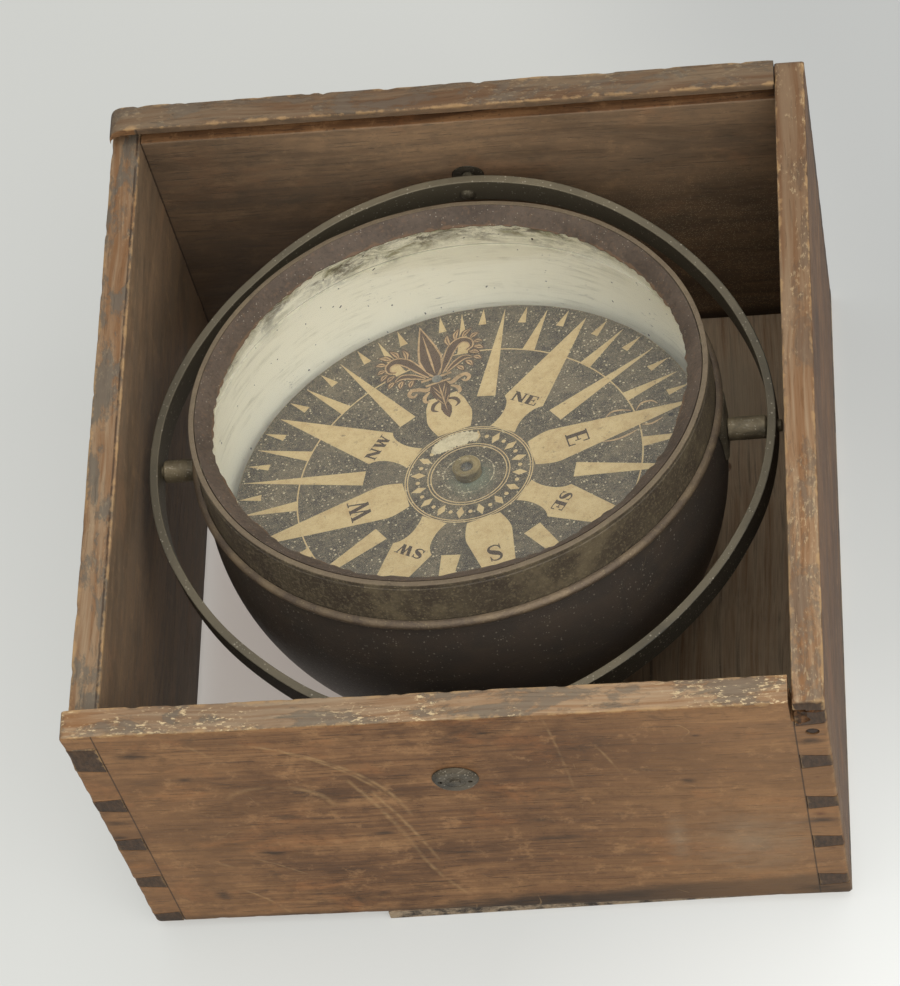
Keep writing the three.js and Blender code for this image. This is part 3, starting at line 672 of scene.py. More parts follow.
# Marks on the front board: three points (X, Z) on each curved scratch, and its width, in millimetres
SCRATCHES = (
    ((-80, 166.5), (-45.3, 146.3), (-21.9, 98.7), 0.8),
    ((-66, 161), (-44, 142.5), (-29, 118), 0.7),
    ((-43, 135), (-32.9, 105), (-25.3, 70.3), 0.9),
    ((-25.3, 70.3), (-20.8, 48.3), (-10.1, 20.9), 0.8),
    ((-35.1, 124.2), (-25.9, 94), (-17.4, 56.1), 0.7),
    ((-89.2, 121.2), (-70.2, 128.7), (-49.7, 109.3), 1.2),
    ((-96.1, 166.3), (-92, 160.5), (-88.1, 153.4), 0.8),
    ((39.1, 174.3), (41.4, 151.7), (43.6, 117.3), 0.5),
    ((56, 150.1), (59.6, 139), (62.8, 126.4), 0.5),
    ((-90, 63.7), (-81, 56.5), (-73.1, 48.3), 0.5),
    ((-100.9, 34.6), (-94.3, 26.9), (-85.1, 8), 0.6),
    ((-107.3, 62.9), (-104, 59.8), (-101, 57.3), 0.9),
)
# Dark stains and knots on it: centre (X, Z) and half sizes
STAINS = (
    ((33.5, 71), (13, 4.5)), ((28, 88), (9, 3.5)), ((72.6, 129), (6, 2.2)), ((93.6, 155.5), (3, 1.8)),
    ((87.4, 117.5), (4.5, 3.5)), ((-69.9, 101.2), (8, 3.5)), ((-81.8, 68.3), (7, 3.5)),
    ((-35.4, 83.2), (9, 3.2)), ((-103.3, 137.8), (5, 3)), ((-110, 30), (5, 9)), ((136, 6), (30, 20)),
    ((15, 166), (5, 2)), ((20, 14), (60, 9)), ((135.7, 76.7), (9, 4)), ((135.5, 146.5), (9, 3.4)),
    ((-137.2, 103), (9, 3.4)), ((-139.5, 89.2), (7, 3.4)), ((133.5, 167), (7, 9)), ((-118, 160), (12, 5)),
)
# Rust round the nails and pale smears, in the same way
RUST = (
    ((136, 153.5), (4.4, 3.2)), ((135.3, 82.5), (4.2, 2.8)),
    ((136.1, 115.3), (2.8, 1.8)), ((138.4, 50.8), (2.6, 2)),
)
SMEARS = (((79, 66), (8, 34)), ((108, 60), (34, 44)))


def circle_through(first, second, third):
    """Centre and radius of the circle through three points: the two equal-distance lines, solved together."""
    points = np.array((first, second, third), float)
    sides = 2 * (points[1:] - points[0])
    centre = np.linalg.solve(sides, (points[1:] ** 2).sum(1) - (points[0] ** 2).sum())
    return centre, np.linalg.norm(points[0] - centre)


def front_marks(n):
    """Masks of the front board's scratches, dark stains, pale smears and rust."""
    scratches = []
    for *points, width in SCRATCHES:
        (x, z), radius = circle_through(*points)
        low, high = np.min(points, 0) - 2, np.max(points, 0) + 2
        scratches.append(n.group(
            "Arc Mark", Position=n.at, Centre=metres(x, 0, z), Radius=radius * MM, Width=1.7 * width * MM,
            Low=metres(low[0], 0, low[1]), High=metres(high[0], 0, high[1]),
        )[0])

    def spots(rows, ragged=2.2, core=-0.3):
        return n.most(*(
            n.spot(n.at, (x, -HALF_DEPTH, z), (wide, 9, tall), ragged, core)
            for (x, z), (wide, tall) in rows
        ))

    return n.most(*scratches), spots(STAINS), spots(SMEARS, 1.5, -0.5), spots(RUST)


def wood(name, looks, along, low, high, seed, dull, paint, flecked, dusty, marked=False):
    """Worn varnished wood: grain, dirt and painted shade inside and at the foot, rubbed top edge and bare
    arrises.

    dull darkens the top edge, paint is the share of old grey paint on it and flecked that of pale flecks.
    dusty is the share of dust on the inner face.
    """
    n = MaterialNodes(name, Specular_IOR_Level=0.15)
    at, lengthwise = n.at, along == "x"
    x, y, z = n.parts(at)
    facing = n.parts(n.normal)
    grain_at = at if lengthwise else n.crosswise()
    grain = n.group("Wood Grain", Vector=grain_at, Seed=seed)
    mottle = n.noise(at, 75.0, 8.0, 0.78)
    base = n.layers(
        n.ramp(grain["Figure"], (0.05, looks.dark), (0.5, looks.middle), (0.95, looks.light)),
        (looks.dark, n.step(grain["Fibre"], 0.3, 0.75), 0.26),
        (looks.grime_and_shade, grain["Pore"], 0.65),
        (looks.dark, n.step(n.noise(grain_at, (16.0, 30.0, 30.0), 8.0, 0.7), 0.48, 0.62), 0.6),
        (looks.dark, n.step(n.noise(at, 8.0, 3.0), 0.42, 0.62), 0.4),
        (looks.warm, n.step(n.noise(grain_at, (18.0, 36.0, 36.0), 6.0, 0.7, 0.6), 0.52, 0.66), 0.45),
        (looks.dark, n.step(mottle, 0.5, 0.66), 0.62),
        (looks.light, n.step(mottle, 0.47, 0.34), 0.62),
        (looks.grime_and_shade, n.step(n.noise(grain_at, (22.0, 60.0, 60.0), 8.0, 0.74, 0.8), 0.56, 0.7), 0.6),
        (looks.grime_and_shade, n.specks(at, 600.0, 0.4), 0.4),
    )

    # End grain of pins and tails, and the inside of the box, darker further down: dirt, and painted shade
    # under the ring and bowl
    end = n.step(n.size(facing[0 if lengthwise else 1]), 0.6, 0.8)
    rings = n.step(n.noise(at, (700.0, 700.0, 240.0), 3.0, 0.6), 0.3, 0.7)
    beyond_x = n.minus(n.size(x), (INNER_WIDTH + 0.3) * MM)
    beyond_y = n.minus(n.size(y), (INNER_DEPTH + 0.3) * MM)
    inside = n.step(n.most(beyond_x, beyond_y), 0.0003, 0.0)
    depth = n.plus(z, n.times(n.noise(at, 14.0, 3.0), 0.06))
    settled = n.times(n.step(depth, 0.16, 0.1), n.step(x, 0.0, 0.07))
    soot = n.step(n.noise(grain_at, (10.0, 44.0, 44.0), 8.0, 0.76, 0.5), 0.44, 0.6)
    base = n.layers(
        base,
        (n.mix(rings, looks.end_grain, looks.grime_and_shade), end, 0.9),
        (looks.dust, inside, dusty),
        (looks.grime_and_shade, inside, n.step(depth, 0.14, 0.06), 0.14),
        (looks.fleck, n.specks(at, 1500.0, 0.8), inside, settled, 0.5),
        (looks.grime_and_shade, inside, soot, 0.3),
    )
    if lengthwise:
        # Painted shade: the inner faces of the front and back boards darken towards the left corner
        base = n.layers(base, (looks.grime_and_shade, inside, n.step(x, -0.04, -0.125), 0.4))
    else:
        # Painted shade: the outer faces of the left and right boards darkened
        outside = n.step(n.size(x), (HALF_WIDTH - 0.6) * MM, (HALF_WIDTH - 0.2) * MM)
        base = n.layers(base, (looks.grime_and_shade, outside, 0.3))

    # Foot of the board: a dark band of dirt and painted shade, higher towards the right on the front board
    climb = n.times(n.step(x, -0.03, 0.135), 0.017 if marked else 0.004)
    uneven = n.times(n.noise(grain_at, (20.0, 60.0, 60.0), 6.0, 0.65), 0.014)
    base = n.layers(base, (looks.grime_and_shade, n.step(n.minus(n.plus(z, uneven), climb), 0.021, 0.012), 0.9))
    height = n.plus(n.times(grain["Fibre"], 0.35), n.times(grain["Figure"], 0.35))
    height = n.minus(height, n.times(grain["Pore"], 0.5))

    if marked:
        in_front = n.step(facing[1], -0.5, -0.8)
        scratch, stain, smear, rust = (n.times(mark, in_front) for mark in front_marks(n))
        scratch = n.most(scratch, n.times(n.scuffs(at, 55.0), 0.7))
        base = n.layers(
            base,
            (looks.light, n.step(x, 0.02, 0.12), 0.32),
            (looks.light, n.step(x, -0.06, -0.12), 0.22),
            (looks.grime_and_shade, stain, 0.85),
            (looks.dust, smear, 0.4),
            (looks.rust, rust, 0.85),
            (looks.bare, scratch, 0.55),
        )
        height = n.minus(height, n.times(scratch, 0.4))

    # The line scribed at the foot of the dovetails, on the faces of the tail boards
    if lengthwise:
        off = n.size(n.minus(n.size(x), (INNER_WIDTH - 0.4) * MM))
        on_face = n.step(n.size(facing[1]), 0.6, 0.8)
        base = n.layers(base, (looks.grime_and_shade, n.step(off, 0.0005, 0.0001), on_face, 0.75))

    # Top edge: rubbed wood with old grey paint, pale flecks and bare arrises
    rim = high[2] * MM
    top = n.times(n.step(facing[2], 0.35, 0.75), n.step(z, rim - 0.006, rim - 0.003))
    stretched = n.vector("MULTIPLY", at, (1.0, 2.6, 2.6) if lengthwise else (2.6, 1.0, 2.6))
    cover = n.noise(stretched, 30.0, 8.0, 0.72, 0.4)
    patch = n.step(cover, 0.48, 0.56)
    tone = n.mix(n.step(grain["Figure"], 0.15, 0.9), looks.middle, looks.edge)
    tone = n.layers(tone, (looks.grime_and_shade, dull), (looks.slate, patch, paint))
    if marked:
        tone = n.layers(tone, (looks.slate, n.step(x, 0.02, -0.07), n.step(x, -0.135, -0.105), 0.3))
    if not lengthwise and high[2] == WALL_TOP:
        tone = n.layers(tone, (looks.dark, n.step(y, -0.1, 0.1), 0.6))
    if high[2] < WALL_TOP:
        off = n.size(n.minus(n.size(x), (INNER_WIDTH + 1.3) * MM))
        broken = n.step(n.noise(at, 60.0, 3.0), 0.34, 0.5)
        tone = n.layers(tone, (looks.grime_and_shade, n.step(off, 0.0007, 0.0001), broken, 0.8))
    outer_face = (HALF_DEPTH if lengthwise else HALF_WIDTH) * MM
    arris = n.step(n.size(y if lengthwise else x), outer_face - 0.0035, outer_face - 0.0008)
    border = n.times(n.step(cover, 0.42, 0.5), n.step(cover, 0.66, 0.56))
    chipped = n.times(n.most(border, arris), n.step(n.noise(at, 24.0, 4.0), 0.4, 0.56))
    flecks = n.times(n.step(n.noise(stretched, 330.0, 5.0, 0.7), 0.55, 0.61), chipped, flecked)
    worn = n.group("Worn Edge", Position=at, Low=metres(*low), High=metres(*high), Width=0.0011)[0]
    upper = n.graded(n.step(z, rim - 0.03, rim - 0.004), 0.5, 0.25)
    base = n.layers(
        base,
        (n.layers(tone, (looks.fleck, flecks)), top, 0.92),
        (n.mix(flecks, looks.bare, looks.fleck), worn, upper),
    )
    height = n.plus(height, n.times(top, patch, 0.5))
    return n.done(base, n.graded(grain["Figure"], 0.12, 0.52), height, 0.00028)


def rounded_outline(corners):
    """Corners (t, z, radius, wear) in order, each as an arc of five points.

    A point is its corner plus an offset: the radius times (1 - sin a) towards the corner before, plus the
    radius times (1 - cos a) towards the one after. Stretching the offsets makes the rounding grow.
    """
    table = np.array(corners, float)
    here = table[:, :2]
    before, after = np.roll(here, 1, 0) - here, np.roll(here, -1, 0) - here
    before /= np.linalg.norm(before, axis=1, keepdims=True)
    after /= np.linalg.norm(after, axis=1, keepdims=True)
    angle = np.radians(np.linspace(0, 90, 5))[None, :, None]
    offsets = (1 - np.sin(angle)) * before[:, None] + (1 - np.cos(angle)) * after[:, None]
    offsets *= table[:, None, 2:3]
    anchors = np.repeat(here[:, None], 5, 1)
    wear = np.repeat(table[:, 3], 5)
    sharp = table[:, 2] == 0
    keep = np.ones((len(table), 5), bool)
    keep[sharp, 1:] = False
    keep = keep.ravel()
    return anchors.reshape(-1, 2)[keep], offsets.reshape(-1, 2)[keep], wear[keep]


def board_skin(half_length, top, grooved, looks, seed, drops):
    """A wall board along its length: u runs along it, t from the outer face inwards and z up.

    The cross-section is a rectangle with the lid groove and rounded corners. Along u the rounding of the top
    corners follows a random line. The outer upright corners are rounded off in plan, and the top falls away
    at each end by a quarter circle whose radius is in drops.
    """
    fine = np.array((0, 0.12, 0.35, 0.7, 1.2, 1.9, 2.8, 4, 5.5, 7.5))
    body = np.linspace(-half_length + 9, half_length - 9, 150)
    u = np.concatenate([-half_length + fine, body, (half_length - fine)[::-1]])
    side = np.linspace(top - 4, WALL_FOOT + 3, 40)
    arris = looks.arris / MM
    corners = [(WALL, WALL_FOOT, 0.6, 0.3)]
    if grooved:
        back = WALL - GROOVE_DEPTH
        corners += [(WALL, GROOVE_FOOT, 0.7, 0.7), (back, GROOVE_FOOT, 0, 0), (back, GROOVE_TOP, 0, 0)]
        corners += [(WALL, GROOVE_TOP, 0.5, 0.5)]
    corners += [(WALL, top, arris * 0.9, 0.8), (0, top, arris, 1.0)]
    corners += [(0, z, 0, 0) for z in side] + [(0, WALL_FOOT, 0.8, 0.5)]
    anchors, offsets, wear = rounded_outline(corners)
    chips = np.maximum(ripple(u, seed + 1, 6, 40, 18), 0) ** 2
    growth = np.clip(1 + 0.35 * ripple(u, seed, 25, 160) + 0.8 * chips, 0.45, 2.4)
    flat = anchors[None] + offsets[None] * (1 + wear[None, :, None] * (growth[:, None, None] - 1))
    t, z = flat[..., 0], flat[..., 1]
    for sign, radius in zip((-1, 1), drops):
        gap = np.clip(radius - (half_length - sign * u), 0, radius)
        fall = radius - np.sqrt(np.maximum(radius**2 - gap**2, 0))
        z = z - fall[:, None] * np.clip((z - (top - 14)) / 14, 0, 1)
    corner = looks.corner / MM * (1 + 0.45 * ripple(z, seed + 2, 12, 60))
    gap = np.clip(corner - (half_length - np.abs(u))[:, None], 0, corner)
    t = t + (corner - np.sqrt(np.maximum(corner**2 - gap**2, 0))) * (1 - t / WALL)
    z = z + 0.16 * ripple(u, seed + 3, 20, 120)[:, None] * np.clip((z - (top - 2)) / 2, 0, 1)
    return u[:, None] + 0 * t, t, z


def pin_outline(side, row, top):
    """The room for one dovetail pin in X and Z: narrow at the outer end, wider by the flare at its foot."""
    low, high = row
    end, foot = side * (HALF_WIDTH + 2), side * (INNER_WIDTH - JOINT_GAP)
    wide_low, wide_high = max(low - FLARE, WALL_FOOT - 1), min(high + FLARE, top + 1)
    return [
        (end, low - JOINT_GAP), (end, high + JOINT_GAP),
        (foot, wide_high + JOINT_GAP), (foot, wide_low - JOINT_GAP),
    ]


def tail_spaces(side, rows):
    """The outlines in X and Z that are cut away between the pins of a side board, and below the lowest."""
    edges = [*rows, (None, WALL_FOOT - 2 - FLARE)]
    end, foot = side * (HALF_WIDTH + 2), side * (INNER_WIDTH - 2)
    slope = FLARE / WALL * 2
    return [
        [
            (end, lower - slope), (end, upper + slope),
            (foot, upper - FLARE - slope), (foot, lower + FLARE + slope),
        ]
        for (upper, _), (_, lower) in zip(edges[:-1], edges[1:]) if upper > WALL_FOOT
    ]


def rod(axis, radius, low, high, place):
    """A plain cutter: a cylinder along an axis from low to high."""
    skin = turned([(0, low), (radius, low), (radius, high), (0, high)], ROD_SIDES)
    return moved(skin, shift(*place) @ TOWARDS["+" + axis])


def lump(centre, radii, seed):
    """An uneven ball to cut with: a half circle turned round, stretched to its radii and rippled."""
    half = arc((0, 0), 1, -90, 90, 13)
    half[[0, -1], 0] = 0
    points, faces = turned(half, 20)
    wobble = 1 + 0.16 * ripple(points.sum(1), seed, 0.5, 2)[:, None]
    return points * wobble * np.array(radii) + np.array(centre), faces


def nail_cutter(place, towards, deep):
    """The room for a nail: a wider hollow for its head, and a hole for its shank."""
    skin = turned([(0, -3), (2.64, -3), (2.64, 1.6), (1.4, 1.6), (1.4, deep), (0, deep)], 24)
    return moved(skin, shift(*place) @ TOWARDS[towards])


def nail_rows():
    """Name, place of the head, direction of the point and length of each nail."""
    corner_x, corner_z = (INNER_WIDTH + HALF_WIDTH) / 2, WALL_TOP - 24.5
    front_y, back_y = -INNER_DEPTH - (WALL - FLOOR_SLANT) / 2, INNER_DEPTH + WALL / 2
    left_x, right_x = FLOOR_LOW[0] + 28, INNER_WIDTH - 28
    return [
        ("corner_nail_front", (corner_x, -HALF_DEPTH, corner_z), "+y", 30),
        ("corner_nail_back", (corner_x, HALF_DEPTH, corner_z), "-y", 30),
        ("bottom_nail_front_left", (left_x, front_y, 0), "+z", 24),
        ("bottom_nail_front_right", (right_x, front_y, 0), "+z", 24),
        ("bottom_nail_back_left", (left_x, back_y, 0), "+z", 24),
        ("bottom_nail_back_right", (right_x, back_y, 0), "+z", 24),
        ("bottom_nail_right_front", (corner_x, -INNER_DEPTH / 2, 0), "+z", 24),
        ("bottom_nail_right_back", (corner_x, INNER_DEPTH / 2, 0), "+z", 24),
    ]


def nail_cutters():
    return [nail_cutter(place, towards, long) for _, place, towards, long in nail_rows()]


# Name, side, fall of the top at each end, random seed, and the wood's shares (dull, paint, flecked, dusty)
TAIL_BOARDS = (
    ("front_board", -1, (2.2, 0.01), 11, (0.0, 0.62, 0.8, 0.42)),
    ("back_board", 1, (7.5, 0.01), 23, (0.58, 0.45, 0.15, 0.34)),
)
# The same, and the top and the pins of each
PIN_BOARDS = (
    ("left_board", -1, (1.2, 1.2), 37, (0.2, 0.75, 0.12, 0.4), LEFT_TOP, LEFT_PINS),
    ("right_board", 1, (2.6, 4.5), 41, (0.0, 0.5, 0.3, 0.42), WALL_TOP, RIGHT_PINS),
)
# Outline in X and Z of the corner that has shrunk away at the right end of the front board
SHRUNK_CORNER = (
    (INNER_WIDTH - 1.5, WALL_TOP + 2), (INNER_WIDTH - 1.3, WALL_TOP - 15),
    (INNER_WIDTH + 1, WALL_TOP - 16), (INNER_WIDTH + 1, WALL_TOP + 2),
)
# Centre, half sizes and random seed of the hollow and the split in the end of the right board
END_DAMAGE = (
    ((INNER_WIDTH + 2.4, -HALF_DEPTH - 0.4, WALL_TOP - 12.8), (3.4, 2.8, 4.6), 5),
    ((INNER_WIDTH + 7.2, -HALF_DEPTH - 0.4, WALL_TOP - 7.8), (4.2, 1.8, 0.9), 8),
)


class COMPASS_OT_boards(Operator):
    """Front, back, left and right boards with their dovetails and lid groove"""

    bl_idname = "compass.boards"
    bl_label = "Box Boards"

    def execute(self, context):
        looks = context.scene.compass_box
        for name, side, drops, seed, shares in TAIL_BOARDS:
            u, t, z = board_skin(HALF_WIDTH, WALL_TOP, True, looks, seed, drops)
            piece = mesh_object(f"{name}_worn", swept(np.stack([u, side * (HALF_DEPTH - t), z], -1)))
            middle = side * (HALF_DEPTH - WALL / 2)
            ends = (middle - WALL, middle + WALL)
            sockets = [pin_outline(-1, row, LEFT_TOP) for row in LEFT_PINS]
            sockets += [pin_outline(1, row, WALL_TOP) for row in RIGHT_PINS]
            bush = rod("y", BUSH_RADIUS + 0.3, *ends, (0, 0, AXIS_HEIGHT))
            cut(piece, [*(prism(outline, *ends) for outline in sockets), bush])
            cut(piece, nail_cutters())
            if side < 0:
                cut(piece, [prism(SHRUNK_CORNER, *ends)])
            near, far = sorted((side * HALF_DEPTH, side * INNER_DEPTH))
            low, high = (-HALF_WIDTH, near, WALL_FOOT), (HALF_WIDTH, far, WALL_TOP)
            material = wood(f"{name}_wood", looks, "x", low, high, seed, *shares, side < 0)
            finish(piece, material, "box", [name])
        for name, side, drops, seed, shares, top, pins in PIN_BOARDS:
            u, t, z = board_skin(HALF_DEPTH, top, side > 0, looks, seed, drops)
            piece = mesh_object(f"{name}_worn", swept(np.stack([side * (HALF_WIDTH - t), u, z], -1)))
            core = INNER_DEPTH - 0.3
            for ends in ((-HALF_DEPTH - 2, -core), (core, HALF_DEPTH + 2)):
                cut(piece, [prism(outline, *ends) for outline in tail_spaces(side, pins)])
            cut(piece, nail_cutters())
            if side > 0:
                cut(piece, [lump(*row) for row in END_DAMAGE])
            near, far = sorted((side * HALF_WIDTH, side * INNER_WIDTH))
            low, high = (near, -HALF_DEPTH, WALL_FOOT), (far, HALF_DEPTH, top)
            material = wood(f"{name}_wood", looks, "y", low, high, seed, *shares)
            finish(piece, material, "box", [name])
        return {"FINISHED"}


def floor_wood(looks):
    """Bare dark board with grain from front to back, stains, a plugged hole and a pale scrubbed patch."""
    n = MaterialNodes("floor_wood_bare", Specular_IOR_Level=0.3)
    at = n.at
    grain = n.group("Wood Grain", Vector=n.crosswise(), Seed=7.0)
    edge = n.step(n.size(n.parts(n.normal)[2]), 0.6, 0.3)
    base = n.layers(
        n.ramp(grain["Figure"], (0.0, looks.grime_and_shade), (0.4, looks.floor), (1.0, looks.middle)),
        (looks.grime_and_shade, n.step(grain["Fibre"], 0.4, 0.8), 0.3),
        (looks.grime_and_shade, n.step(n.noise(at, 20.0, 4.0, 0.6), 0.4, 0.7), 0.25),
        (looks.dust, n.spot(at, (100, 92, 7), (34, 44, 9), 1.1, -0.2), 0.7),
        (looks.rust, n.spot(at, (95.4, 56.5, 7), (3.2, 3.2, 5), 0.3, 0.7), 0.8),
        (looks.dust, edge, 0.45),
        (looks.grime_and_shade, edge, n.step(n.noise(at, 70.0, 8.0, 0.75), 0.42, 0.6)),
        (looks.dust, n.specks(at, 900.0, 0.6), 0.5),
    )
    height = n.plus(n.times(grain["Fibre"], 0.5), n.times(grain["Figure"], 0.5))
    return n.done(base, n.graded(grain["Figure"], 0.15, 0.62), height, 0.0004)


class COMPASS_OT_bottom_board(Operator):
    """The bottom board, with a slanting front edge and a ragged left end"""

    bl_idname = "compass.bottom_board"
    bl_label = "Bottom Board"

    def execute(self, context):
        looks = context.scene.compass_box
        left, right, thick = FLOOR_LOW[0], FLOOR_HIGH[0], FLOOR_HIGH[2]
        # A section in X and Z carried from front to back, with the left end rippled and the front slanting
        near_end = np.array((0, 0.001, 0.003, 0.006))
        share = np.concatenate([near_end, np.linspace(0.012, 0.988, 130), (1 - near_end)[::-1]])[:, None]
        lift = np.linspace(0.9, thick - 0.9, 5)
        corners = [(right, 0, 0.7, 0), (right, thick, 0.5, 0), (left, thick, 0.6, 1)]
        corners += [(left, z, 0, 0) for z in lift[::-1]] + [(left, 0, 0.6, 1)]
        anchors, offsets, _ = rounded_outline(corners)
        outline = anchors + offsets
        x, z = outline[:, 0] + 0 * share, outline[:, 1] + 0 * share
        run = share * FLOOR_RUN
        ragged = 0.5 * ripple(run, 53, 3, 30) + 0.9 * np.maximum(ripple(run, 54, 14, 90), 0)
        across = 0.35 * ripple(z + 37 * share, 55, 2, 9)
        x += np.where(x < left + 2, 0.4 + np.clip(ragged + across, -0.35, 2.2), 0)
        front = -HALF_DEPTH + FLOOR_SLANT * (x - left) / (right - left)
        y = front + share * (HALF_DEPTH - front)
        ends = np.minimum(share, 1 - share) * FLOOR_RUN
        middle = thick / 2
        z = middle + (z - middle) * (1 - 0.07 * np.clip(1 - ends / 0.9, 0, 1) ** 2)
        piece = mesh_object("bottom_board_worn", swept(np.stack([x, y, z], -1)))
        cut(piece, nail_cutters())
        finish(piece, floor_wood(looks), "box", ["bottom_board"])
        return {"FINISHED"}


def iron(looks):
    """Rusted nail heads."""
    n = MaterialNodes("nail_rust", Metallic=0.35)
    old = n.group("Patina", Vector=n.at)
    base = n.mix(old["Cloud"], looks.rust, looks.grime_and_shade)
    base = n.layers(base, (looks.rust, n.step(old["Grit"], 0.55, 0.75)))
    return n.done(base, n.graded(old["Grit"], 0.3, 0.55), old["Grit"], 0.0003)


class COMPASS_OT_nails(Operator):
    """Hand-made nails: uneven domed heads on tapered shanks"""

    bl_idname = "compass.nails"
    bl_label = "Nails"

    def execute(self, context):
        rust = iron(context.scene.compass_box)
        head = [(0, 0.2), (0.9, 0.22), (1.7, 0.34), (2.25, 0.55), (2.52, 0.85), (2.55, 1.15), (2.3, 1.38)]
        for seed, (name, place, towards, long) in enumerate(nail_rows()):
            shank = [(1.3, 1.4), (1.08, 1.7), (1.0, long * 0.5), (0.9, long - 3), (0.5, long - 1), (0, long)]
            skin = around(head + shank, NAIL_SIDES)
            skin[1:len(head), :, 0] *= 1 + 0.02 * round_ripple(NAIL_SIDES, seed, 2, 6)
            piece = mesh_object(f"{name}_forged", turned(skin), shift(*place) @ TOWARDS[towards])
            finish(piece, rust, "box", [name])
        return {"FINISHED"}


def brass(name, dark, light, dust, bright=0.0):
    """Patinated brass: cloudy brown and green tones, grit, and paler metal where it is rubbed."""
    n = MaterialNodes(name, Metallic=0.45 + bright)
    old = n.group("Patina", Vector=n.at)
    base = n.layers(
        n.mix(old["Cloud"], dark, light),
        (light, n.step(old["Grit"], 0.45, 0.72), 0.4),
        (dust, old["Rub"], 0.3),
        (dust, n.specks(n.at, 1100.0, 0.3), 0.5),
    )
    return n.done(base, n.graded(old["Grit"], 0.3, 0.38), old["Grit"], 0.0002)


class COMPASS_OT_bearings(Operator):
    """Flanged bushes for the gimbal pins, with a boss and two spanner holes"""

    bl_idname = "compass.bearings"
    bl_label = "Bearings"

    def execute(self, context):
        looks = context.scene.compass_bowl
        metal = brass("bearing_brass", shade(48, 44, 36), shade(94, 84, 68), looks.dust)
        boss = [(0, 2.6), (2.2, 2.6), (2.2, 2.0), (3.6, 2.0), (3.9, 1.75), (4.2, 2.0)]
        flange = [(7.6, 2.0), (9.0, 0.6), (9.0, 0), (BUSH_RADIUS, 0)]
        sleeve = [(BUSH_RADIUS, -12), (2.4, -12), (2.4, -1.5), (0, -1.5)]
        bush = turned_solid(boss + flange + sleeve, 0.3, 96)
        for name, towards, y in (("front_bearing", "-y", -HALF_DEPTH), ("back_bearing", "+y", HALF_DEPTH)):
            place = shift(0, y, AXIS_HEIGHT) @ TOWARDS[towards]
            piece = mesh_object(f"{name}_turned", bush, place)
            cut(piece, [moved(rod("z", 0.9, 0.8, 4, (x, 0, 0)), place) for x in (-5.8, 5.8)])
            finish(piece, metal, "box", [name])
        return {"FINISHED"}


# Gimbal

def ring_metal(looks):
    """Dark olive metal whose upper edge is rubbed and dusty."""
    n = MaterialNodes("ring_patina", Metallic=0.25)
    at = n.at
    x = n.parts(at)[0]
    old = n.group("Patina", Vector=at)
    up = n.step(n.parts(n.normal)[2], 0.5, 0.85)
    rubbed = n.graded(n.step(n.noise(at, 40.0, 4.0), 0.36, 0.6), 0.45, 0.5)
    rubbed = n.times(rubbed, n.graded(n.step(x, -0.125, 0.0), 0.5, 0.5))
    rubbed = n.math("SUBTRACT", rubbed, n.times(n.step(x, 0.02, 0.1), 0.55), clamp=True)
    from_axis = n.vector("MULTIPLY", at, (1.0, 1.0, 0.0))
    inward = n.step(n.vector("DOT_PRODUCT", n.normal, from_axis), 0.02, -0.02)
    base = n.layers(
        looks.ring_dark,
        (looks.brass_dark, old["Cloud"], 0.6),
        (looks.ring_light, n.step(old["Grit"], 0.5, 0.75), 0.25),
        (looks.ring_light, inward, 0.55),
        (looks.ring_light, up, rubbed),
        (looks.dust, n.specks(at, 950.0, 0.35), 0.5),
    )
    return n.done(base, n.graded(old["Grit"], 0.3, 0.42), old["Grit"], 0.0002)


class COMPASS_OT_gimbal(Operator):
    """Gimbal ring with its drilled holes, and the two riveted pins"""

    bl_idname = "compass.gimbal"
    bl_label = "Gimbal Ring and Pins"

    def execute(self, context):
        looks = context.scene.compass_bowl
        # Ring: a softened rectangle carried round and rippled, its radius stretched by a cosine of four waves
        section = [(RING_INNER, RING_LOW), (RING_OUTER, RING_LOW)]
        section += [(RING_OUTER, RING_HIGH), (RING_INNER, RING_HIGH)]
        skin = around(softened(section, 0.45, 5), RING_SIDES)
        skin[..., 1] += 0.12 * round_ripple(RING_SIDES, 61, 3, 26)
        skin[..., 0] += 0.08 * round_ripple(RING_SIDES, 62, 3, 18)
        skin[..., 0] += RING_STRETCH * np.cos(4 * round_angles(RING_SIDES))
        ring = mesh_object("gimbal_ring_hoop", turned(skin), GIMBAL)
        reach = PIVOT_OUTER + 4
        for axis, radius in (("y", PIN_HOLE), ("x", TRUNNION_HOLE)):
            cut(ring, [moved(rod(axis, radius, -reach, reach, (0, 0, 0)), GIMBAL)])
        finish(ring, ring_metal(looks), "gimbal", ["gimbal_ring"])

        metal = brass("pin_brass", looks.brass_dark, looks.brass_light, looks.dust, 0.1)
        head, shoulder = PIVOT_INNER - 0.3, PIVOT_OUTER + 0.3
        journal, end = INNER_DEPTH - 0.6, HALF_DEPTH - 2.1
        # Pin: a domed head, a neck through the ring, a wider shoulder and a journal in the bearing
        dome = arc((0, head + 1.95), 3.55, -90, -26, 9)
        dome[0, 0] = 0
        profile = [*dome.tolist(), (3.2, head), (2.2, head), (2.2, shoulder), (2.7, shoulder), (2.7, journal)]
        profile += [(2.1, journal), (2.1, end), (0, end)]
        for name, towards in (("gimbal_pin_front", "-y"), ("gimbal_pin_back", "+y")):
            piece = mesh_object(f"{name}_riveted", turned_solid(profile, 0.18, 56), GIMBAL @ TOWARDS[towards])
            finish(piece, metal, "gimbal", [name])
        return {"FINISHED"}


# Bowl

